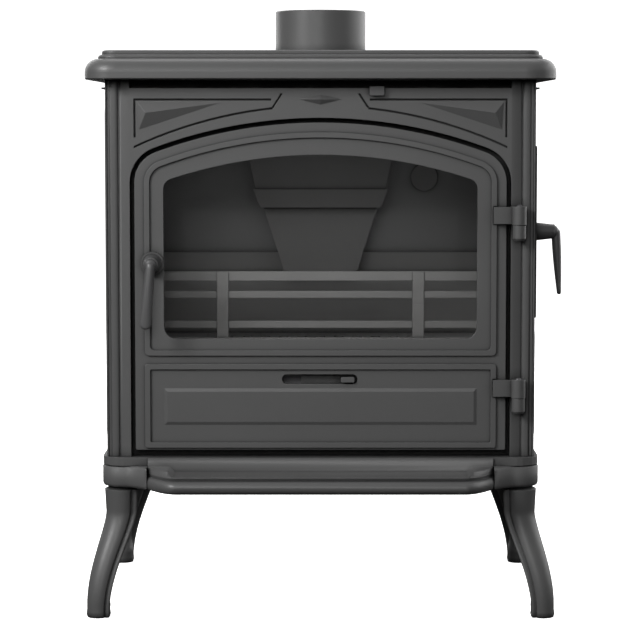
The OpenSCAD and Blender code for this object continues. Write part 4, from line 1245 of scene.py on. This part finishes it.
@dataclass
class FrontCasting:
    """The front plate with its columns moulded as cast: a flat bead and a gently rounded land.

    Sizes in mm and degrees.
    """

    finishes: Finishes

    # The plate's own form
    column_w: float = 29.2
    recess: float = 3.6
    bead_r: float = 5.2
    bead_out: float = 3.7
    groove: float = 1.8
    old_floor: float = 1.6

    # The moulded form
    fall: float = 3.0
    fall_curve: float = 1.5
    floor: float = 4.0
    outer_floor: float = 3.0
    crown: float = 1.9
    slices: int = 6
    soft: float = 24.0
    crisp: float = 5.0

    # How far a point may stray from a line of the form and still count as on it
    land_slack: float = 0.01
    floor_slack: float = 0.05
    edge_slack: float = 0.1

    def land(self, half: float) -> tuple[float, float]:
        """Where a column's flat land lies across the plate.

        Args:
            half: half the width over the columns, in mm.

        Returns:
            The land's inner and outer edge, from the middle of the stove, in mm.
        """
        return half - self.column_w, half - self.recess - 2 * self.bead_r - self.groove

    def profile(self, across: float, depth: float, half: float) -> float:
        """Where a point of the plate's front lies after moulding.

        Args:
            across: distance from the middle of the stove, in mm.
            depth: the point's depth behind the plate's face, in mm.
            half: half the width over the columns, in mm.

        Returns:
            The new depth behind the face, in mm.
        """
        inner, outer = self.land(half)
        if across < inner or depth > self.old_floor + self.floor_slack:
            return depth
        if across <= outer + self.land_slack and depth < self.land_slack:
            return self.fall * ((across - inner) / (outer - inner)) ** self.fall_curve
        share = (self.old_floor - depth) / (self.old_floor + self.bead_out)
        inside = across < half - self.recess - self.bead_r
        floor = self.floor if inside else self.outer_floor
        return floor - share * (floor - self.crown)

    def cut_lands(self, piece: bpy.types.Object, half: float) -> None:
        """Cuts the flat land of both columns into upright strips.

        Args:
            piece: the plate's copy.
            half: half the width over the columns, in mm.
        """
        inner, outer = self.land(half)
        take_up(piece)
        bpy.ops.object.mode_set(mode="EDIT")
        bpy.ops.mesh.select_all(action="SELECT")
        bpy.ops.mesh.remove_doubles(threshold=WELD)
        for side in (-1, 1):
            for step in range(self.slices):
                cut = side * (inner + (outer - inner) * step / self.slices) * MM
                bpy.ops.mesh.select_all(action="SELECT")
                bpy.ops.mesh.bisect(plane_co=(cut, 0, 0), plane_no=(1, 0, 0))
        bpy.ops.object.mode_set(mode="OBJECT")

    def keep_carving_crisp(self, piece: bpy.types.Object, inner: float) -> None:
        """Marks every fold between the columns sharp, so that the carved facets stay flat.

        Args:
            piece: the moulded plate.
            inner: distance of the columns' inner edges from the middle, in mm.
        """
        mesh = bmesh.new()
        mesh.from_mesh(piece.data)
        for edge in mesh.edges:
            between = all(abs(v.co.x) < (inner + self.edge_slack) * MM for v in edge.verts)
            if between and edge.calc_face_angle(math.pi) > math.radians(self.crisp):
                edge.smooth = False
        mesh.to_mesh(piece.data)
        mesh.free()

    def build(self, node: bpy.types.Object) -> None:
        """Copies the front plate, cuts its lands into strips and moulds the columns.

        Args:
            node: the CAD node of the front plate.
        """
        copy = own_copy(node)
        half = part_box(node.name)[1].x / MM
        column = (half - 3 * self.bead_r) * MM
        bead_front = min(v.co.y for v in copy.data.vertices if abs(v.co.x) > column)
        face = bead_front / MM + self.bead_out
        self.cut_lands(copy, half)
        for vertex in copy.data.vertices:
            depth = self.profile(abs(vertex.co.x) / MM, vertex.co.y / MM - face, half)
            vertex.co.y = (face + depth) * MM
        settle(copy, "front_casting", self.soft)
        self.keep_carving_crisp(copy, half - self.column_w)
        self.finishes.wear(copy, Coat.CAST_IRON)
        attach(copy, "stove_body")
        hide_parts(node.name)
        LOG.info("front casting")


def main() -> None:
    """Loads the frame, dresses it and lights it."""
    logging.basicConfig(level=logging.INFO, format="%(name)s: %(message)s")
    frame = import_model()
    Studio().build()
    finishes = Finishes()
    Castings(finishes).dress(frame)
    CabrioleLegs(finishes).build()
    Levers(finishes).build()
    SoftCastings(finishes).build(frame["nodes"])
    FrontCasting(finishes).build(frame["nodes"]["front_plate"])


if __name__ == "__main__":
    main()
